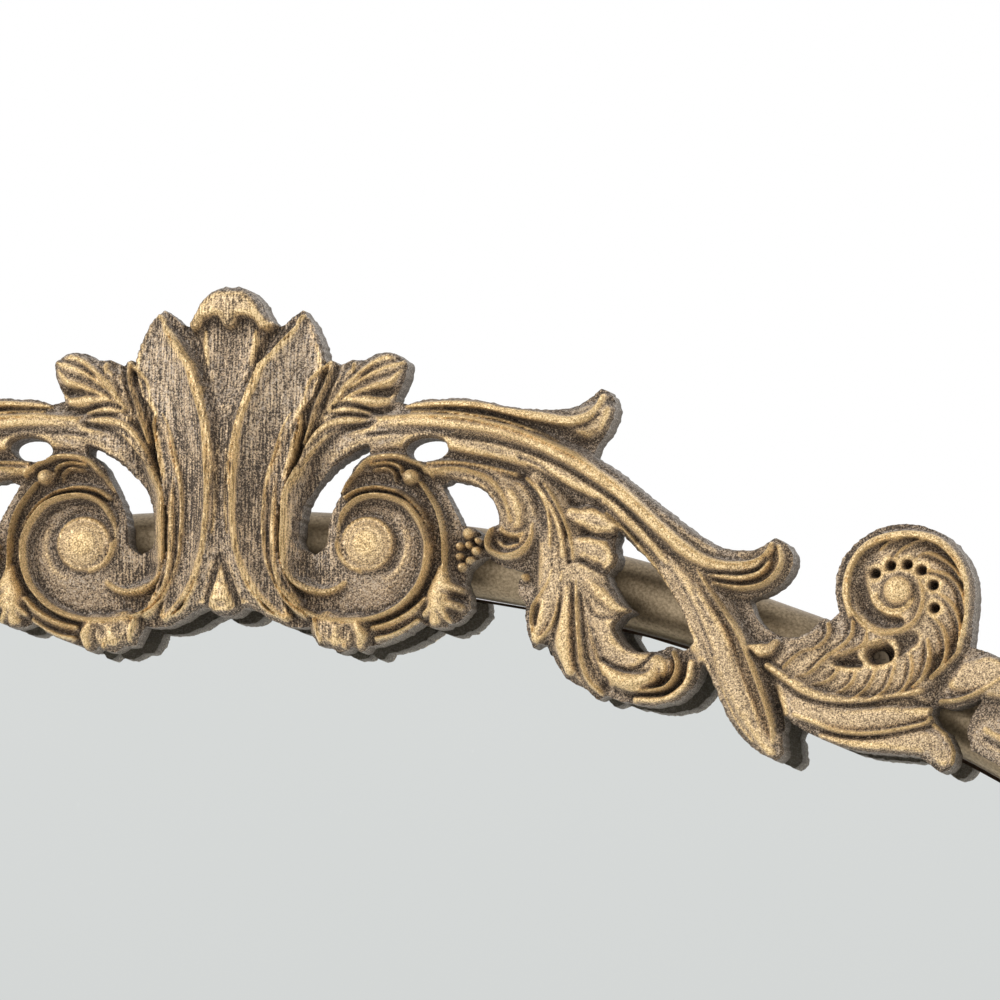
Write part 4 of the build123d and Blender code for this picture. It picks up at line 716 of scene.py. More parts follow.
class Relief:
    """Height field of the right half of the crest."""

    def __init__(self):
        self.u = np.arange(0, U_MAX, CELL)
        self.v = np.arange(V_MIN, V_MAX, CELL)
        shape = (len(self.v), len(self.u))
        self.z = np.full(shape, FOOT)
        self.ground = np.full(shape, FOOT)
        self.grain = np.full(shape, GRAIN)
        self.gilt = np.zeros(shape)
        # painted shade, with grime in the grooves and pits
        self.dark = np.zeros(shape)

    def near(self, line, spacing, reach):
        """Window of the grid round a line, with place along it and signed distance across."""
        lo, hi = line.min(0) - reach, line.max(0) + reach
        i0, i1 = np.searchsorted(self.u, (lo[0], hi[0]))
        j0, j1 = np.searchsorted(self.v, (lo[1], hi[1]))
        if i0 >= i1 or j0 >= j1:
            return None
        window = (slice(j0, j1), slice(i0, i1))
        grid_u, grid_v = np.meshgrid(self.u[i0:i1], self.v[j0:j1])
        p = np.stack([grid_u.ravel(), grid_v.ravel()], axis=1)
        index = np.empty(len(p), int)
        for k in range(0, len(p), 20000):
            d2 = ((p[k:k + 20000, None, :] - line[None, :, :]) ** 2).sum(2)
            index[k:k + 20000] = d2.argmin(1)
        tangent = np.gradient(line, axis=0)
        tangent /= np.hypot(*tangent.T)[:, None]
        t = tangent[index]
        gap = p - line[index]
        forward = (gap * t).sum(1)
        across = t[:, 0] * gap[:, 1] - t[:, 1] * gap[:, 0]
        last = len(line) - 1
        beyond = ((index == 0) & (forward < 0)) | ((index == last) & (forward > 0))
        across = np.where(beyond, np.hypot(forward, across) * np.where(across < 0, -1, 1), across)
        s = np.clip((index + forward / spacing) / last, 0, 1)
        shape = grid_u.shape
        return window, s.reshape(shape), across.reshape(shape)

    def work(self, shape, height, width, points):
        """Adds one row of the carving."""
        if shape == "bead":
            for u, v in points:
                self.work("round", height, width, [(u, v), (u + 0.05, v)])
            return
        line, spacing = smooth_line(leaned(points, plan_height(shape, height)), LINE_STEP)
        left, right = width if isinstance(width, list) else (width, width)
        reach = max(np.max(left), np.max(right)) + CELL
        found = self.near(line, spacing, reach)
        if found is None:
            return
        window, s, across = found
        half = np.where(across > 0, along(left, s), along(right, s))
        x = np.minimum(np.abs(across) / half, 1.0)
        if shape == "sheet":
            side = 0.5 + 0.5 * np.clip(across / half, -1, 1)
            west, east = along(height[0], s), along(height[1], s)
            self.lay(window, x, east * (1 - side) + west * side - SAG * (1 - x * x))
        elif shape in RAISED:
            top = along(height, s)
            if shape == "beading":
                count = round(spacing * (len(line) - 1) / BEAD_PITCH)
                top = top - BEAD_DIP * np.sin(np.pi * count * s) ** 2
            self.raise_up(shape, window, top, x, across)
        elif shape == "grain":
            self.grain[window] = np.maximum(self.grain[window], height * (1 - x ** 4))
        elif shape == "mass":
            swell = FOOT + (along(height, s) - FOOT) * (0.5 + 0.5 * np.cos(np.pi * x))
            self.ground[window] = np.maximum(self.ground[window], swell)
            self.z[window] = np.maximum(self.z[window], self.ground[window])
        else:
            self.sink(shape, window, along(height, s), x)

    def lay(self, window, x, new):
        """Lays new heights over the old ones, within the row's width."""
        old = self.z[window]
        self.z[window] = np.where(x < 1, soft_max(old, new), old)

    def raise_up(self, shape, window, top, x, across):
        """A raised piece, with gold rubbed on it where it comes out on top."""
        ground = np.minimum(self.ground[window], top - 0.4)
        rise = LINE_RISE if shape == "ridge" else 0.0
        new = ground + (top - rise - ground) * section(shape, x)
        new = new + rise * np.exp(-(across / LINE_HALF) ** 2)
        self.lay(window, x, new)
        if shape == "ridge":
            shine = np.exp(-(across / GILT_LINE) ** 2)
        else:
            shine = (GILT_DOME if shape == "dome" else GILT_FIELD) * (1 - x ** 3)
        over = (x < 1) & (new > self.z[window] - 0.1)
        gilt, dark = self.gilt[window], self.dark[window]
        self.gilt[window] = np.where(over, np.maximum(shine, gilt * x), gilt)
        self.dark[window] = np.where(over, dark * x, dark)

    def sink(self, shape, window, level, x):
        """A pit or hollow down to a level or a groove of that depth, with painted shade and grime, or
        painted shade alone.
        """
        old = self.z[window]
        if shape == "groove":
            depth = level * (1 - x * x)
            self.z[window] = old - GROOVE_CUT * depth
            self.darken(window, np.minimum(GROOVE_SHADE_AND_GRIME * depth, 0.9))
        elif shape == "shade":
            # painted shade, with no cut
            self.darken(window, level * (1 - x * x))
        else:
            self.z[window] = np.where(x < 1, np.minimum(old, level + (old - level) * x ** 2.2), old)
            self.darken(window, (PIT_SHADE_AND_GRIME if shape == "pit" else HOLLOW_SHADE_AND_GRIME) * (1 - x ** 2))

    def darken(self, window, amount):
        """Painted shade, with grime in grooves and pits, over whatever gilding was there."""
        self.dark[window] = np.maximum(self.dark[window], amount)
        self.gilt[window] = self.gilt[window] * (1 - np.clip(amount, 0, 1))


def closed_loop(runs):
    """Fine points round a closed outline of runs, at the height of the carving's edge."""
    parts = [smooth_line(leaned(run, EDGE_Z), 0.15)[0][:-1] for run in runs]
    loop = np.vstack(parts)
    rough = np.random.default_rng(len(loop)).normal(0, EDGE_ROUGH, loop.shape)
    for axis in (0, 1):
        rough[:, axis] = np.convolve(rough[:, axis], np.hanning(9) / 1.7, "same")
    return loop + rough


def outline_loops():
    """Half outline closed down the axis, then the openings."""
    half = closed_loop(OUTLINE)
    half = np.vstack([half, leaned([OUTLINE[-1][-1]], EDGE_Z)])
    half = half[half[:, 0] >= 0]
    half = np.vstack([[0, half[0, 1]], half, [0, half[-1, 1]]])
    return [half] + [closed_loop(runs) for runs in OPENINGS] + [leaned(OVAL, EDGE_Z)]


def inside_mask(u, v, loops):
    """Grid points inside the outline and outside the openings."""
    a = np.vstack(loops)
    b = np.vstack([np.roll(loop, -1, axis=0) for loop in loops])
    mask = np.zeros((len(v), len(u)), bool)
    for j, level in enumerate(v):
        hit = (a[:, 1] > level) != (b[:, 1] > level)
        p, q = a[hit], b[hit]
        cross = np.sort(p[:, 0] + (level - p[:, 1]) / (q[:, 1] - p[:, 1]) * (q[:, 0] - p[:, 0]))
        mask[j] = np.searchsorted(cross, u) % 2 == 1
    mask[:, 0] = mask[:, 1]
    return mask


def nearest_edge(u, v, edge, reach):
    """Distance and place of the nearest edge point, for grid points within reach of it."""
    shape = (len(v), len(u))
    best = np.full(shape, 1e9)
    spot = np.full(shape + (2,), np.nan)
    span = int(math.ceil(reach / CELL))
    offsets = range(-span, span + 1)
    i = np.round((edge[:, 0] - u[0]) / CELL).astype(int)
    j = np.round((edge[:, 1] - v[0]) / CELL).astype(int)
    for dj in offsets:
        for di in offsets:
            jj, ii = j + dj, i + di
            ok = (jj >= 0) & (jj < shape[0]) & (ii >= 0) & (ii < shape[1])
            jj, ii, p = jj[ok], ii[ok], edge[ok]
            d = np.hypot(u[ii] - p[:, 0], v[jj] - p[:, 1])
            order = np.argsort(-d)
            jj, ii, p, d = jj[order], ii[order], p[order], d[order]
            closer = d < best[jj, ii]
            jj, ii, p, d = jj[closer], ii[closer], p[closer], d[closer]
            best[jj, ii] = d
            spot[jj, ii] = p
    return best, spot


def blurred(field, mask, radius):
    """Gaussian blur within the mask."""
    reach = int(math.ceil(2.5 * radius / CELL))
    kernel = np.exp(-0.5 * (np.arange(-reach, reach + 1) * CELL / radius) ** 2)
    total = np.where(mask, field, 0.0)
    weight = mask.astype(float)
    for axis in (0, 1):
        total = np.apply_along_axis(np.convolve, axis, total, kernel, "same")
        weight = np.apply_along_axis(np.convolve, axis, weight, kernel, "same")
    return total / np.maximum(weight, 1e-6)


def carved_relief():
    """Heights, mask and edge snapping of the right half."""
    relief = Relief()
    for row in CARVING:
        relief.work(*row)
    loops = outline_loops()
    u, v = relief.u, relief.v
    mask = inside_mask(u, v, loops)
    edge = np.vstack([loop[(loop[:, 0] > 0)] for loop in loops])
    distance, spot = nearest_edge(u, v, edge, EDGE_ROLL + 2 * CELL)
    rng = np.random.default_rng(11)
    everywhere = np.ones_like(mask)
    lumps = blurred(rng.standard_normal(mask.shape), everywhere, LUMP_BLUR)
    z = blurred(relief.z, everywhere, TOOL_BLUR) + LUMP_RISE * lumps
    z = z + relief.grain * rng.standard_normal(mask.shape)
    roll = np.clip(distance / EDGE_ROLL, 0, 1)
    cap = EDGE_Z + (MAX_Z - EDGE_Z) * roll ** 1.5 + 2.4 * np.sqrt(roll)
    z = np.clip(np.where(mask, np.minimum(z, cap), np.minimum(z, EDGE_Z)), MIN_Z, MAX_Z)
    return u, v, z, mask, distance, spot, relief.gilt, relief.dark


def kept_cells(mask, distance):
    """Cells that make the surface, with no two meeting only at a corner."""
    near = mask | (distance < 0.45 * CELL)
    cells = near[:-1, :-1] & near[1:, :-1] & near[:-1, 1:] & near[1:, 1:]
    for _ in range(6):
        a, b, c, d = cells[:-1, :-1], cells[:-1, 1:], cells[1:, :-1], cells[1:, 1:]
        falling = a & d & ~b & ~c
        rising = b & c & ~a & ~d
        if not (falling.any() or rising.any()):
            break
        cells[:-1, :-1][falling] = False
        cells[:-1, 1:][rising] = False
    return cells


def mirrored(field, sign=1):
    """The whole crest's field from the right half's."""
    return np.concatenate([sign * field[:, :0:-1], field], axis=1)


def mesh_of_relief():
    """Vertices, faces and per-vertex shading values of the closed casting."""
    u, v, z, mask, distance, spot, gilt, dark = carved_relief()
    cells = kept_cells(mask, distance)
    used = np.zeros(mask.shape, bool)
    count = np.zeros(mask.shape, int)
    for dj in (0, 1):
        for di in (0, 1):
            used[dj:dj + cells.shape[0], di:di + cells.shape[1]] |= cells
            count[dj:dj + cells.shape[0], di:di + cells.shape[1]] += cells
    count[:, 0] *= 2
    border = used & (count < 4)
    grid_u, grid_v = np.meshgrid(u, v)
    snap = (border | (used & ~mask)) & np.isfinite(spot[..., 0])
    snap_u = snap & (grid_u > 0)
    grid_u = np.where(snap_u, spot[..., 0], grid_u)
    grid_v = np.where(snap, spot[..., 1], grid_v)
    z = np.where(snap, np.minimum(z, EDGE_Z), z)
    broad = blurred(z, used, BROAD_BLUR)
    fine = blurred(z, used, FINE_BLUR)
    middle = blurred(z, used, MIDDLE_BLUR)
    rub_and_hollow_shade = np.clip((fine - middle) * LINE_RUB + (fine - broad) * LEAF_RUB, -1, 1)
    gilt = np.maximum(gilt, np.clip(0.9 * rub_and_hollow_shade - 0.1, 0, 0.8) * (1 - 0.6 * dark))
    # what lies below its surroundings gets painted shade and grime
    dark = np.maximum(dark, np.clip(-1.1 * rub_and_hollow_shade - 0.12, 0, 0.8))
    rub_and_hollow_shade = mirrored(rub_and_hollow_shade)
    # slopes that face up turn paler and greyer: dust, with painted light from above
    slope_v = np.gradient(fine, CELL, axis=0)
    dust_and_top_light = mirrored(np.clip(-slope_v - 0.25, 0, 1))
    full_u, full_v, full_z = mirrored(grid_u, -1), mirrored(grid_v), mirrored(z)
    full_used = mirrored(used).astype(bool)
    full_cells = np.concatenate([cells[:, ::-1], cells], axis=1)
    number = np.full(full_used.shape, -1)
    number[full_used] = np.arange(full_used.sum())
    top = np.stack([full_u[full_used], full_v[full_used], full_z[full_used]], axis=1)
    comb = np.clip((COMBED_HALF - np.abs(full_u)) / COMB_FADE, 0, 1)
    shades = {"rub_and_hollow_shade": rub_and_hollow_shade[full_used], "gilt": mirrored(gilt)[full_used],
              "dark": mirrored(dark)[full_used], "comb": comb[full_used], "wall": np.zeros(len(top)),
              "dust_and_top_light": dust_and_top_light[full_used]}
    j, i = np.nonzero(full_cells)
    quads = np.stack([number[j, i], number[j, i + 1], number[j + 1, i + 1], number[j + 1, i]], axis=1)
    return close_below(top, quads, shades)


def close_below(top, quads, shades):
    """Adds the side walls and the flat back, with painted shade that darkens them towards the back."""
    edges = np.concatenate([quads[:, [k, (k + 1) % 4]] for k in range(4)])
    key = edges[:, 0] * len(top) + edges[:, 1]
    back_key = edges[:, 1] * len(top) + edges[:, 0]
    rim = edges[~np.isin(key, back_key)]
    follow = dict(rim.tolist())
    ring = np.unique(rim)
    place = {int(n): k for k, n in enumerate(ring)}
    verts, faces = [top], [tuple(q) for q in quads.tolist()]
    values = {name: [row] for name, row in shades.items()}
    previous = {int(n): int(n) for n in ring}
    for fraction in WALL_LEVELS:
        start = sum(len(block) for block in verts)
        wall = top[ring].copy()
        wall[:, 2] *= fraction
        verts.append(wall)
        for name, row in values.items():
            # the walls darken ring by ring towards the back: painted shade, darkest on the back itself
            row.append(np.full(len(ring), {"wall": 1.0, "dark": 1.0 - fraction}.get(name, 0.0)))
        current = {n: start + place[n] for n in place}
        for a, b in follow.items():
            faces.append((previous[b], previous[a], current[a], current[b]))
        previous = current
    loops = []
    left = dict(follow)
    while left:
        first = next(iter(left))
        loop = [first]
        node = left.pop(first)
        while node != first:
            loop.append(node)
            node = left.pop(node)
        loops.append(loop)
    flat = [n for loop in loops for n in loop]
    polygons = [[Vector((top[n, 0], top[n, 1], 0)) for n in loop] for loop in loops]
    for tri in tessellate_polygon(polygons):
        ids = [previous[flat[k]] for k in tri]
        faces.append(tuple(ids))
    return np.vstack(verts), faces, {name: np.concatenate(row) for name, row in values.items()}


def new_object(name, verts, faces, body, material):
    """A mesh piece riding on a body."""
    mesh = bpy.data.meshes.new(name)
    mesh.from_pydata(verts, [], faces)
    mesh.validate()
    obj = bpy.data.objects.new(name, mesh)
    bpy.context.scene.collection.objects.link(obj)
    mesh.materials.append(material)
    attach(obj, body)
    return obj


def carve_crest(material):
    """The carved casting, in place of the plain one."""
    verts, faces, shades = mesh_of_relief()
    place = np.empty_like(verts)
    place[:, 0] = verts[:, 0] * MM
    place[:, 1] = CREST_BACK_Y - verts[:, 2] * MM
    place[:, 2] = APEX_Z + verts[:, 1] * MM
    crest = new_object("crest_carving", place.tolist(), faces, "mirror", material)
    mesh = crest.data
    for name, values in shades.items():
        attribute = mesh.attributes.new(name, "FLOAT", "POINT")
        attribute.data.foreach_set("value", values.astype(np.float32))
    bm = bmesh.new()
    bm.from_mesh(mesh)
    bmesh.ops.recalc_face_normals(bm, faces=bm.faces)
    bm.to_mesh(mesh)
    bm.free()
    mesh.polygons.foreach_set("use_smooth", [True] * len(mesh.polygons))
    mesh.set_sharp_from_angle(angle=math.radians(CREST_CREASE))
    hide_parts("crest")


# ------------------------------------------------------------------ materials

class Surface:
    """Short-hand for building a procedural material."""

    def __init__(self, name):
        self.material = bpy.data.materials.new(name)
        self.material.use_nodes = True
        self.tree = self.material.node_tree
        self.shader = self.tree.nodes["Principled BSDF"]

    def node(self, kind, settings=None, **inputs):
        """A shader node with its settings and its inputs, by name."""
        made = self.tree.nodes.new(kind)
        for key, value in (settings or {}).items():
            setattr(made, key, value)
        for key, value in inputs.items():
            self.feed(made.inputs[key.replace("_", " ")], value)
        return made

    def feed(self, socket, value):
        """Links a field to a socket, or sets a constant on it."""
        if isinstance(value, bpy.types.NodeSocket):
            self.tree.links.new(value, socket)
        else:
            socket.default_value = value

    def coordinates(self, scale=(1, 1, 1)):
        """Object coordinates in metres, stretched by a scale."""
        source = self.node("ShaderNodeTexCoord").outputs["Object"]
        return self.node("ShaderNodeMapping", Vector=source, Scale=scale).outputs[0]

    def attribute(self, name):
        """A value stored on the carving's points."""
        return self.node("ShaderNodeAttribute", {"attribute_name": name}).outputs["Fac"]

    def noise(self, vector, scale, detail=3.0, rough=0.55):
        return self.node("ShaderNodeTexNoise", Vector=vector, Scale=scale, Detail=detail,
                         Roughness=rough).outputs["Fac"]

    def math(self, operation, a, b=0.0, clamp=False):
        made = self.node("ShaderNodeMath", {"operation": operation, "use_clamp": clamp})
        self.feed(made.inputs[0], a)
        self.feed(made.inputs[1], b)
        return made.outputs[0]

    def weighted(self, *pairs, offset=0.0):
        """Sum of fields times weights, clamped to 0..1."""
        total = offset
        for field, weight in pairs:
            total = self.math("ADD", self.math("MULTIPLY", field, weight), total)
        return self.math("ADD", total, 0.0, clamp=True)

    def ramp(self, factor, *stops):
        """Colour that changes along a field, through stops of (place, colour)."""
        made = self.node("ShaderNodeValToRGB", Fac=factor)
        ramp = made.color_ramp
        while len(ramp.elements) < len(stops):
            ramp.elements.new(0.5)
        for element, (place, colour) in zip(ramp.elements, stops):
            element.position = place
            element.color = (*colour, 1)
        return made.outputs["Color"]

    def remap(self, field, lo, hi, to_lo, to_hi):
        """A field stretched from one range to another."""
        made = self.node("ShaderNodeMapRange")
        for socket, value in zip(("Value", "From Min", "From Max", "To Min", "To Max"),
                                 (field, lo, hi, to_lo, to_hi)):
            self.feed(made.inputs[socket], value)
        return made.outputs["Result"]

    def mix(self, factor, a, b):
        """Colour a at factor 0 and colour b at 1."""
        made = self.node("ShaderNodeMix", {"data_type": "RGBA"})
        colour_a, colour_b = made.inputs[6:8]
        for socket, value in ((made.inputs["Factor"], factor), (colour_a, a), (colour_b, b)):
            self.feed(socket, value)
        return made.outputs[2]

    def bump(self, height, strength, distance, normal=None):
        """Normal with fine relief, on top of another such normal if one is given."""
        made = self.node("ShaderNodeBump", Height=height, Strength=strength, Distance=distance)
        if normal is not None:
            self.feed(made.inputs["Normal"], normal)
        return made.outputs["Normal"]

    def finish(self, **inputs):
        """Feeds the shader and hands back the material."""
        for key, value in inputs.items():
            self.feed(self.shader.inputs[key.replace("_", " ")], value)
        return self.material


def crest_gold():
    """Dark bronze casting with sandy gold all over, brightest on its raised lines, with painted shade in
    its hollows and on its walls.
    """
    s = Surface("crest_gold")
    plain = s.coordinates()
    sand = s.noise(plain, 3500.0, 1.0, 0.6)
    grit = s.noise(plain, 1700.0, 2.0, 0.7)
    streak = s.noise(s.coordinates((1, 1, 0.1)), 2300.0, 1.0, 0.6)
    patch = s.noise(plain, 260.0, 3.0, 0.65)
    rub_and_hollow_shade = s.attribute("rub_and_hollow_shade")
    gilt = s.attribute("gilt")
    dark = s.attribute("dark")
    wall = s.attribute("wall")
    dust_and_top_light = s.attribute("dust_and_top_light")
    across = s.node("ShaderNodeSeparateXYZ", Vector=plain).outputs["X"]
    wave = s.math("SINE", s.math("MULTIPLY", across, math.tau / RIB_PITCH))
    ribs = s.math("MULTIPLY", wave, 0.07)
    comb = s.math("ADD", s.math("SUBTRACT", streak, 0.5), ribs)
    comb = s.math("MULTIPLY", comb, s.attribute("comb"))
    calm = s.math("SUBTRACT", 1.0, s.math("MULTIPLY", gilt, 0.3))
    speckle = s.math("MULTIPLY", s.math("SUBTRACT", sand, 0.5), calm)
    # tone of the casting: rubbed gold, sand and scratches, darkened by painted shade and grime where dark
    # is high
    worn = s.weighted((rub_and_hollow_shade, 0.10), (gilt, 0.22), (dark, -0.34), (dust_and_top_light, -0.10), (speckle, 2.4),
                      (grit, 0.9), (comb, 2.0), (patch, 0.4), offset=-0.12)
    tone = s.ramp(worn, (0.0, (0.048, 0.035, 0.025)), (0.25, (0.175, 0.127, 0.085)),
                  (0.5, (0.36, 0.268, 0.178)), (0.75, (0.55, 0.418, 0.272)), (1.0, (0.80, 0.61, 0.40)))
    gold = s.ramp(worn, (0.1, (0.11, 0.068, 0.028)), (0.45, (0.36, 0.235, 0.092)),
                  (0.75, (0.68, 0.465, 0.195)), (1.0, (0.98, 0.76, 0.42)))
    # grey specks, more of them on up-facing slopes for dust and painted top light
    pale = s.weighted((grit, 2.8), (sand, 1.8), (gilt, -1.1), (dark, -0.4), (dust_and_top_light, 0.5), offset=-2.25)
    dusty = s.mix(pale, tone, (0.44, 0.385, 0.33, 1))
    # lit colour of the side walls, speckled
    lit_wall = s.ramp(s.weighted((speckle, 3.2), (grit, 0.9), offset=-0.03),
                   (0.1, (0.075, 0.060, 0.045)), (0.5, (0.24, 0.20, 0.16)), (0.9, (0.52, 0.44, 0.35)))
    # painted shade: the walls turn to a dark shaded brown towards the back
    side = s.mix(s.math("MULTIPLY", dark, 0.85), lit_wall, (0.105, 0.085, 0.063, 1))
    colour = s.mix(wall, s.mix(s.math("MULTIPLY", gilt, 0.9), dusty, gold), side)
    normal = s.bump(sand, 0.7, 0.00025)
    normal = s.bump(comb, 0.3, 0.0002, normal)
    metal = s.math("MULTIPLY", s.remap(worn, 0.3, 0.9, 0.1, 0.6), s.math("SUBTRACT", 1.0, wall))
    rough = s.remap(worn, 0.1, 0.9, 0.8, 0.52)
    return s.finish(Base_Color=colour, Metallic=metal, Roughness=rough, Normal=normal)


def bar_gold(name, dark, mid, light, grain=1.0):
    """Satin antique-gold paint on smooth tube, slightly speckled and worn."""
    s = Surface(name)
    plain = s.coordinates()
    speck = s.noise(plain, 1900.0, 2.0, 0.6)
    cloud = s.noise(plain, 42.0, 4.0, 0.6)
    worn = s.weighted((speck, 0.55 * grain), (cloud, 0.7), offset=-0.12)
    tone = s.ramp(worn, (0.2, dark), (0.5, mid), (0.85, light))
    normal = s.bump(speck, 0.25, 0.00012)
    normal = s.bump(s.noise(plain, 320.0, 3.0, 0.5), 0.12, 0.0003, normal)
    rough = s.remap(worn, 0.2, 0.9, 0.5, 0.36)
    return s.finish(Base_Color=tone, Metallic=0.75, Roughness=rough, Normal=normal)


def silvered_glass():
    """Front-lit mirror with the faintest cloudiness and dusty specks."""
    s = Surface("silvered_glass")
    plain = s.coordinates()
    haze = s.noise(plain, 18.0, 4.0, 0.6)
    specks = s.noise(plain, 700.0, 2.0, 0.5)
    tint = s.mix(haze, (0.762, 0.787, 0.777, 1), (0.776, 0.797, 0.789, 1))
    smear = s.remap(haze, 0.3, 0.7, 0.004, 0.012)
    dusty = s.remap(specks, 0.72, 0.8, 0.0, 0.12)
    rough = s.math("ADD", smear, dusty)
    return s.finish(Base_Color=tint, Metallic=1.0, Roughness=rough)


def board_brown():
    """Hardboard back with pressed fibres."""
    s = Surface("backing_board")
    plain = s.coordinates()
    fibre = s.noise(s.coordinates((1, 1, 0.35)), 900.0, 4.0, 0.7)
    cloud = s.noise(plain, 30.0, 4.0, 0.6)
    tone = s.ramp(s.weighted((fibre, 0.6), (cloud, 0.5), offset=-0.05), (0.2, (0.10, 0.058, 0.032)),
                  (0.55, (0.185, 0.11, 0.062)), (0.9, (0.28, 0.18, 0.11)))
    return s.finish(Base_Color=tone, Roughness=s.remap(fibre, 0.3, 0.7, 0.6, 0.82),
                    Normal=s.bump(fibre, 0.35, 0.0002))


def plated(name, dark, light, rough):
    """Plated or blackened steel hardware with fine machining marks."""
    s = Surface(name)
    plain = s.coordinates()
    mark = s.noise(s.coordinates((1, 1, 0.1)), 2600.0, 2.0, 0.6)
    cloud = s.noise(plain, 260.0, 3.0, 0.6)
    tone = s.ramp(s.weighted((mark, 0.4), (cloud, 0.7), offset=-0.05), (0.25, dark), (0.8, light))
    worn = s.remap(cloud, 0.3, 0.7, rough, rough + 0.14)
    return s.finish(Base_Color=tone, Metallic=0.95, Roughness=worn, Normal=s.bump(mark, 0.12, 0.00008))


def moulded(name, dark, light, rough):
    """Moulded plastic or mastic with a fine matt texture."""
    s = Surface(name)
    plain = s.coordinates()
    pebble = s.noise(plain, 1500.0, 3.0, 0.6)
    cloud = s.noise(plain, 120.0, 3.0, 0.5)
    tone = s.ramp(s.weighted((pebble, 0.4), (cloud, 0.6)), (0.3, dark), (0.75, light))
    return s.finish(Base_Color=tone, Roughness=s.remap(pebble, 0.3, 0.7, rough, rough + 0.15),
                    Normal=s.bump(pebble, 0.2, 0.00015))


# Material slots by the start of the node's name; every other node is part of the stand.
SLOT_BY_START = {
    "frame": "frame_gold",
    "pivot_boss": "frame_gold",
    "glass": "silvered_glass",
    "backing": "backing_board",
    "mastic": "mastic",
    "retaining": "zinc_steel",
    "clip_screws": "zinc_steel",
    "crest_rear": "zinc_steel",
    "crest_front": "dark_steel",
    "stretcher_bolts": "dark_steel",
    "post_set": "dark_steel",
    "stud": "zinc_steel",
    "saddle": "washer_nylon",
    "glides": "glide_plastic",
}


def slot_of(node):
    """Material slot of a CAD node, from the start of its name."""
    for start, slot in SLOT_BY_START.items():
        if node.startswith(start):
            return slot
    return "stand_gold"


def node_materials():
    """Material of each slot that a CAD node has."""
    return {
        "frame_gold": bar_gold("frame_gold", (0.07, 0.050, 0.032), (0.22, 0.165, 0.10),
                               (0.42, 0.325, 0.205), 1.5),
        "stand_gold": bar_gold("stand_gold", (0.09, 0.07, 0.048), (0.25, 0.19, 0.12),
                               (0.46, 0.36, 0.22), 1.1),
        "zinc_steel": plated("zinc_steel", (0.42, 0.41, 0.38), (0.72, 0.71, 0.66), 0.28),
        "dark_steel": plated("dark_steel", (0.07, 0.055, 0.04), (0.22, 0.17, 0.11), 0.34),
        "washer_nylon": moulded("washer_nylon", (0.62, 0.60, 0.55), (0.8, 0.78, 0.72), 0.42),
        "glide_plastic": moulded("glide_plastic", (0.012, 0.012, 0.013), (0.035, 0.034, 0.033), 0.48),
        "mastic": moulded("mastic", (0.05, 0.05, 0.05), (0.1, 0.1, 0.1), 0.7),
        "silvered_glass": silvered_glass(),
        "backing_board": board_brown(),
    }


def dress_nodes():
    """Gives every CAD node its material."""
    by_slot = node_materials()
    for name, obj in nodes.items():
        obj.data.materials.clear()
        obj.data.materials.append(by_slot[slot_of(name)])
        obj.data.polygons.foreach_set("use_smooth", [True] * len(obj.data.polygons))
        obj.data.set_sharp_from_angle(angle=math.radians(CAD_CREASE))


# ------------------------------------------------------------------ studio

def aim(obj, target):
    """Turns a camera or a lamp to look at a point."""
    obj.rotation_mode = "QUATERNION"
    obj.rotation_quaternion = (Vector(target) - obj.location).to_track_quat("-Z", "Y")


def make_camera():
    """Long lens on the crest and the glass below it, from the right and a little below."""
    azimuth = math.radians(12.0)
    elevation = math.radians(-5.0)
    roll = math.radians(1.05)
    distance = 5.0
    view_width = 0.180
    level = math.cos(elevation)
    back = Vector((math.sin(azimuth) * level, -math.cos(azimuth) * level, math.sin(elevation)))
    right = Vector((math.cos(azimuth), math.sin(azimuth), 0))
    up = back.cross(right)
    plan = Vector((0, CREST_BACK_Y - PLAN_Z * MM, APEX_Z))
    target = plan + right * 0.0494 + up * 0.0078
    data = bpy.data.cameras.new("camera")
    data.sensor_width = 36.0
    data.lens = data.sensor_width * distance / view_width
    data.clip_end = 50
    camera = bpy.data.objects.new("camera", data)
    bpy.context.scene.collection.objects.link(camera)
    camera.location = target + back * distance
    aim(camera, target)
    camera.rotation_quaternion @= Quaternion((0, 0, 1), roll)
    bpy.context.scene.camera = camera


def area_light(name, place, target, size, power):
    """A square white lamp."""
    data = bpy.data.lights.new(name, "AREA")
    data.size = size
    data.energy = power
    lamp = bpy.data.objects.new(name, data)
    bpy.context.scene.collection.objects.link(lamp)
    lamp.location = place
    aim(lamp, target)


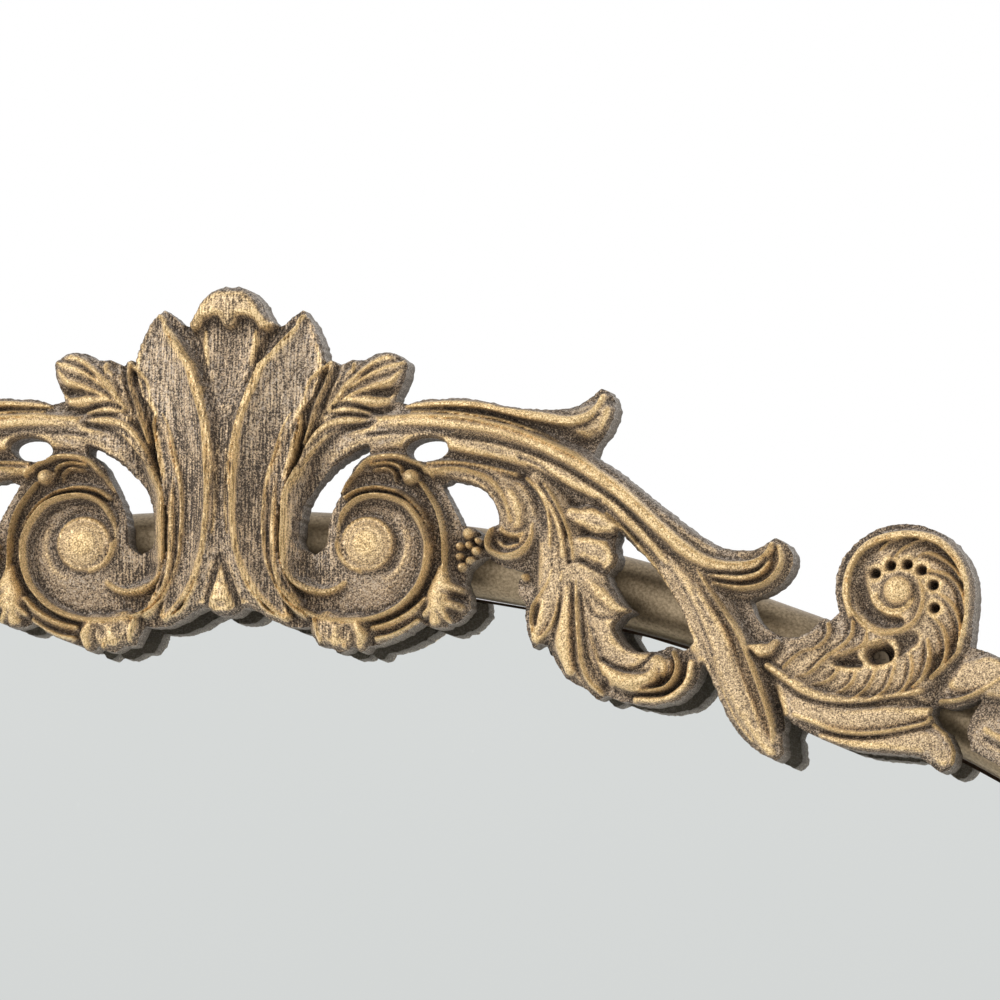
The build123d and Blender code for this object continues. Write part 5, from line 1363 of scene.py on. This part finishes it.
def studio_world():
    """White backdrop; for lighting, bright above and darker towards the floor."""
    world = bpy.data.worlds.new("studio")
    bpy.context.scene.world = world
    world.use_nodes = True
    tree = world.node_tree
    tree.nodes.clear()
    coordinate = tree.nodes.new("ShaderNodeTexCoord")
    split = tree.nodes.new("ShaderNodeSeparateXYZ")
    tree.links.new(coordinate.outputs["Generated"], split.inputs[0])
    lift = tree.nodes.new("ShaderNodeMapRange")
    lift.inputs["From Min"].default_value = -1.0
    tree.links.new(split.outputs["Z"], lift.inputs["Value"])
    ramp = tree.nodes.new("ShaderNodeValToRGB")
    stops = [(0.0, 0.25), (0.44, 0.45), (0.50, 0.72), (0.565, 0.98), (0.75, 0.85), (1.0, 1.0)]
    while len(ramp.color_ramp.elements) < len(stops):
        ramp.color_ramp.elements.new(0.5)
    for element, (place, level) in zip(ramp.color_ramp.elements, stops):
        element.position = place
        element.color = (level, level, level, 1)
    tree.links.new(lift.outputs["Result"], ramp.inputs["Fac"])
    lighting = tree.nodes.new("ShaderNodeBackground")
    tree.links.new(ramp.outputs["Color"], lighting.inputs["Color"])
    backdrop = tree.nodes.new("ShaderNodeBackground")
    backdrop.inputs["Color"].default_value = (1, 1, 1, 1)
    rays = tree.nodes.new("ShaderNodeLightPath")
    choose = tree.nodes.new("ShaderNodeMixShader")
    output = tree.nodes.new("ShaderNodeOutputWorld")
    tree.links.new(rays.outputs["Is Camera Ray"], choose.inputs[0])
    tree.links.new(lighting.outputs[0], choose.inputs[1])
    tree.links.new(backdrop.outputs[0], choose.inputs[2])
    tree.links.new(choose.outputs[0], output.inputs["Surface"])


def studio():
    """Pale floor, white backdrop and four soft lamps."""
    bpy.context.scene.view_settings.view_transform = "Standard"
    studio_world()
    s = Surface("floor_paint")
    cloud = s.noise(s.coordinates(), 3.0)
    tone = s.ramp(cloud, (0.3, (0.825, 0.825, 0.815)), (0.7, (0.83, 0.83, 0.82)))
    s.finish(Base_Color=tone, Roughness=0.6)
    bpy.ops.mesh.primitive_plane_add(size=70)
    floor = bpy.context.object
    floor.name = "floor"
    floor.data.materials.append(s.material)
    crest = Vector((0.05, 0, APEX_Z))
    area_light("key", (-1.7, -1.9, 3.2), crest, 0.9, 34)
    area_light("fill", (1.9, -1.6, 2.2), crest, 1.2, 5)
    area_light("rim", (0.9, 1.8, 2.8), crest, 1.0, 12)
    area_light("body", (-1.6, -2.6, 1.6), (0, 0, 0.7), 1.4, 20)


make_camera()
studio()
dress_nodes()
carve_crest(crest_gold())
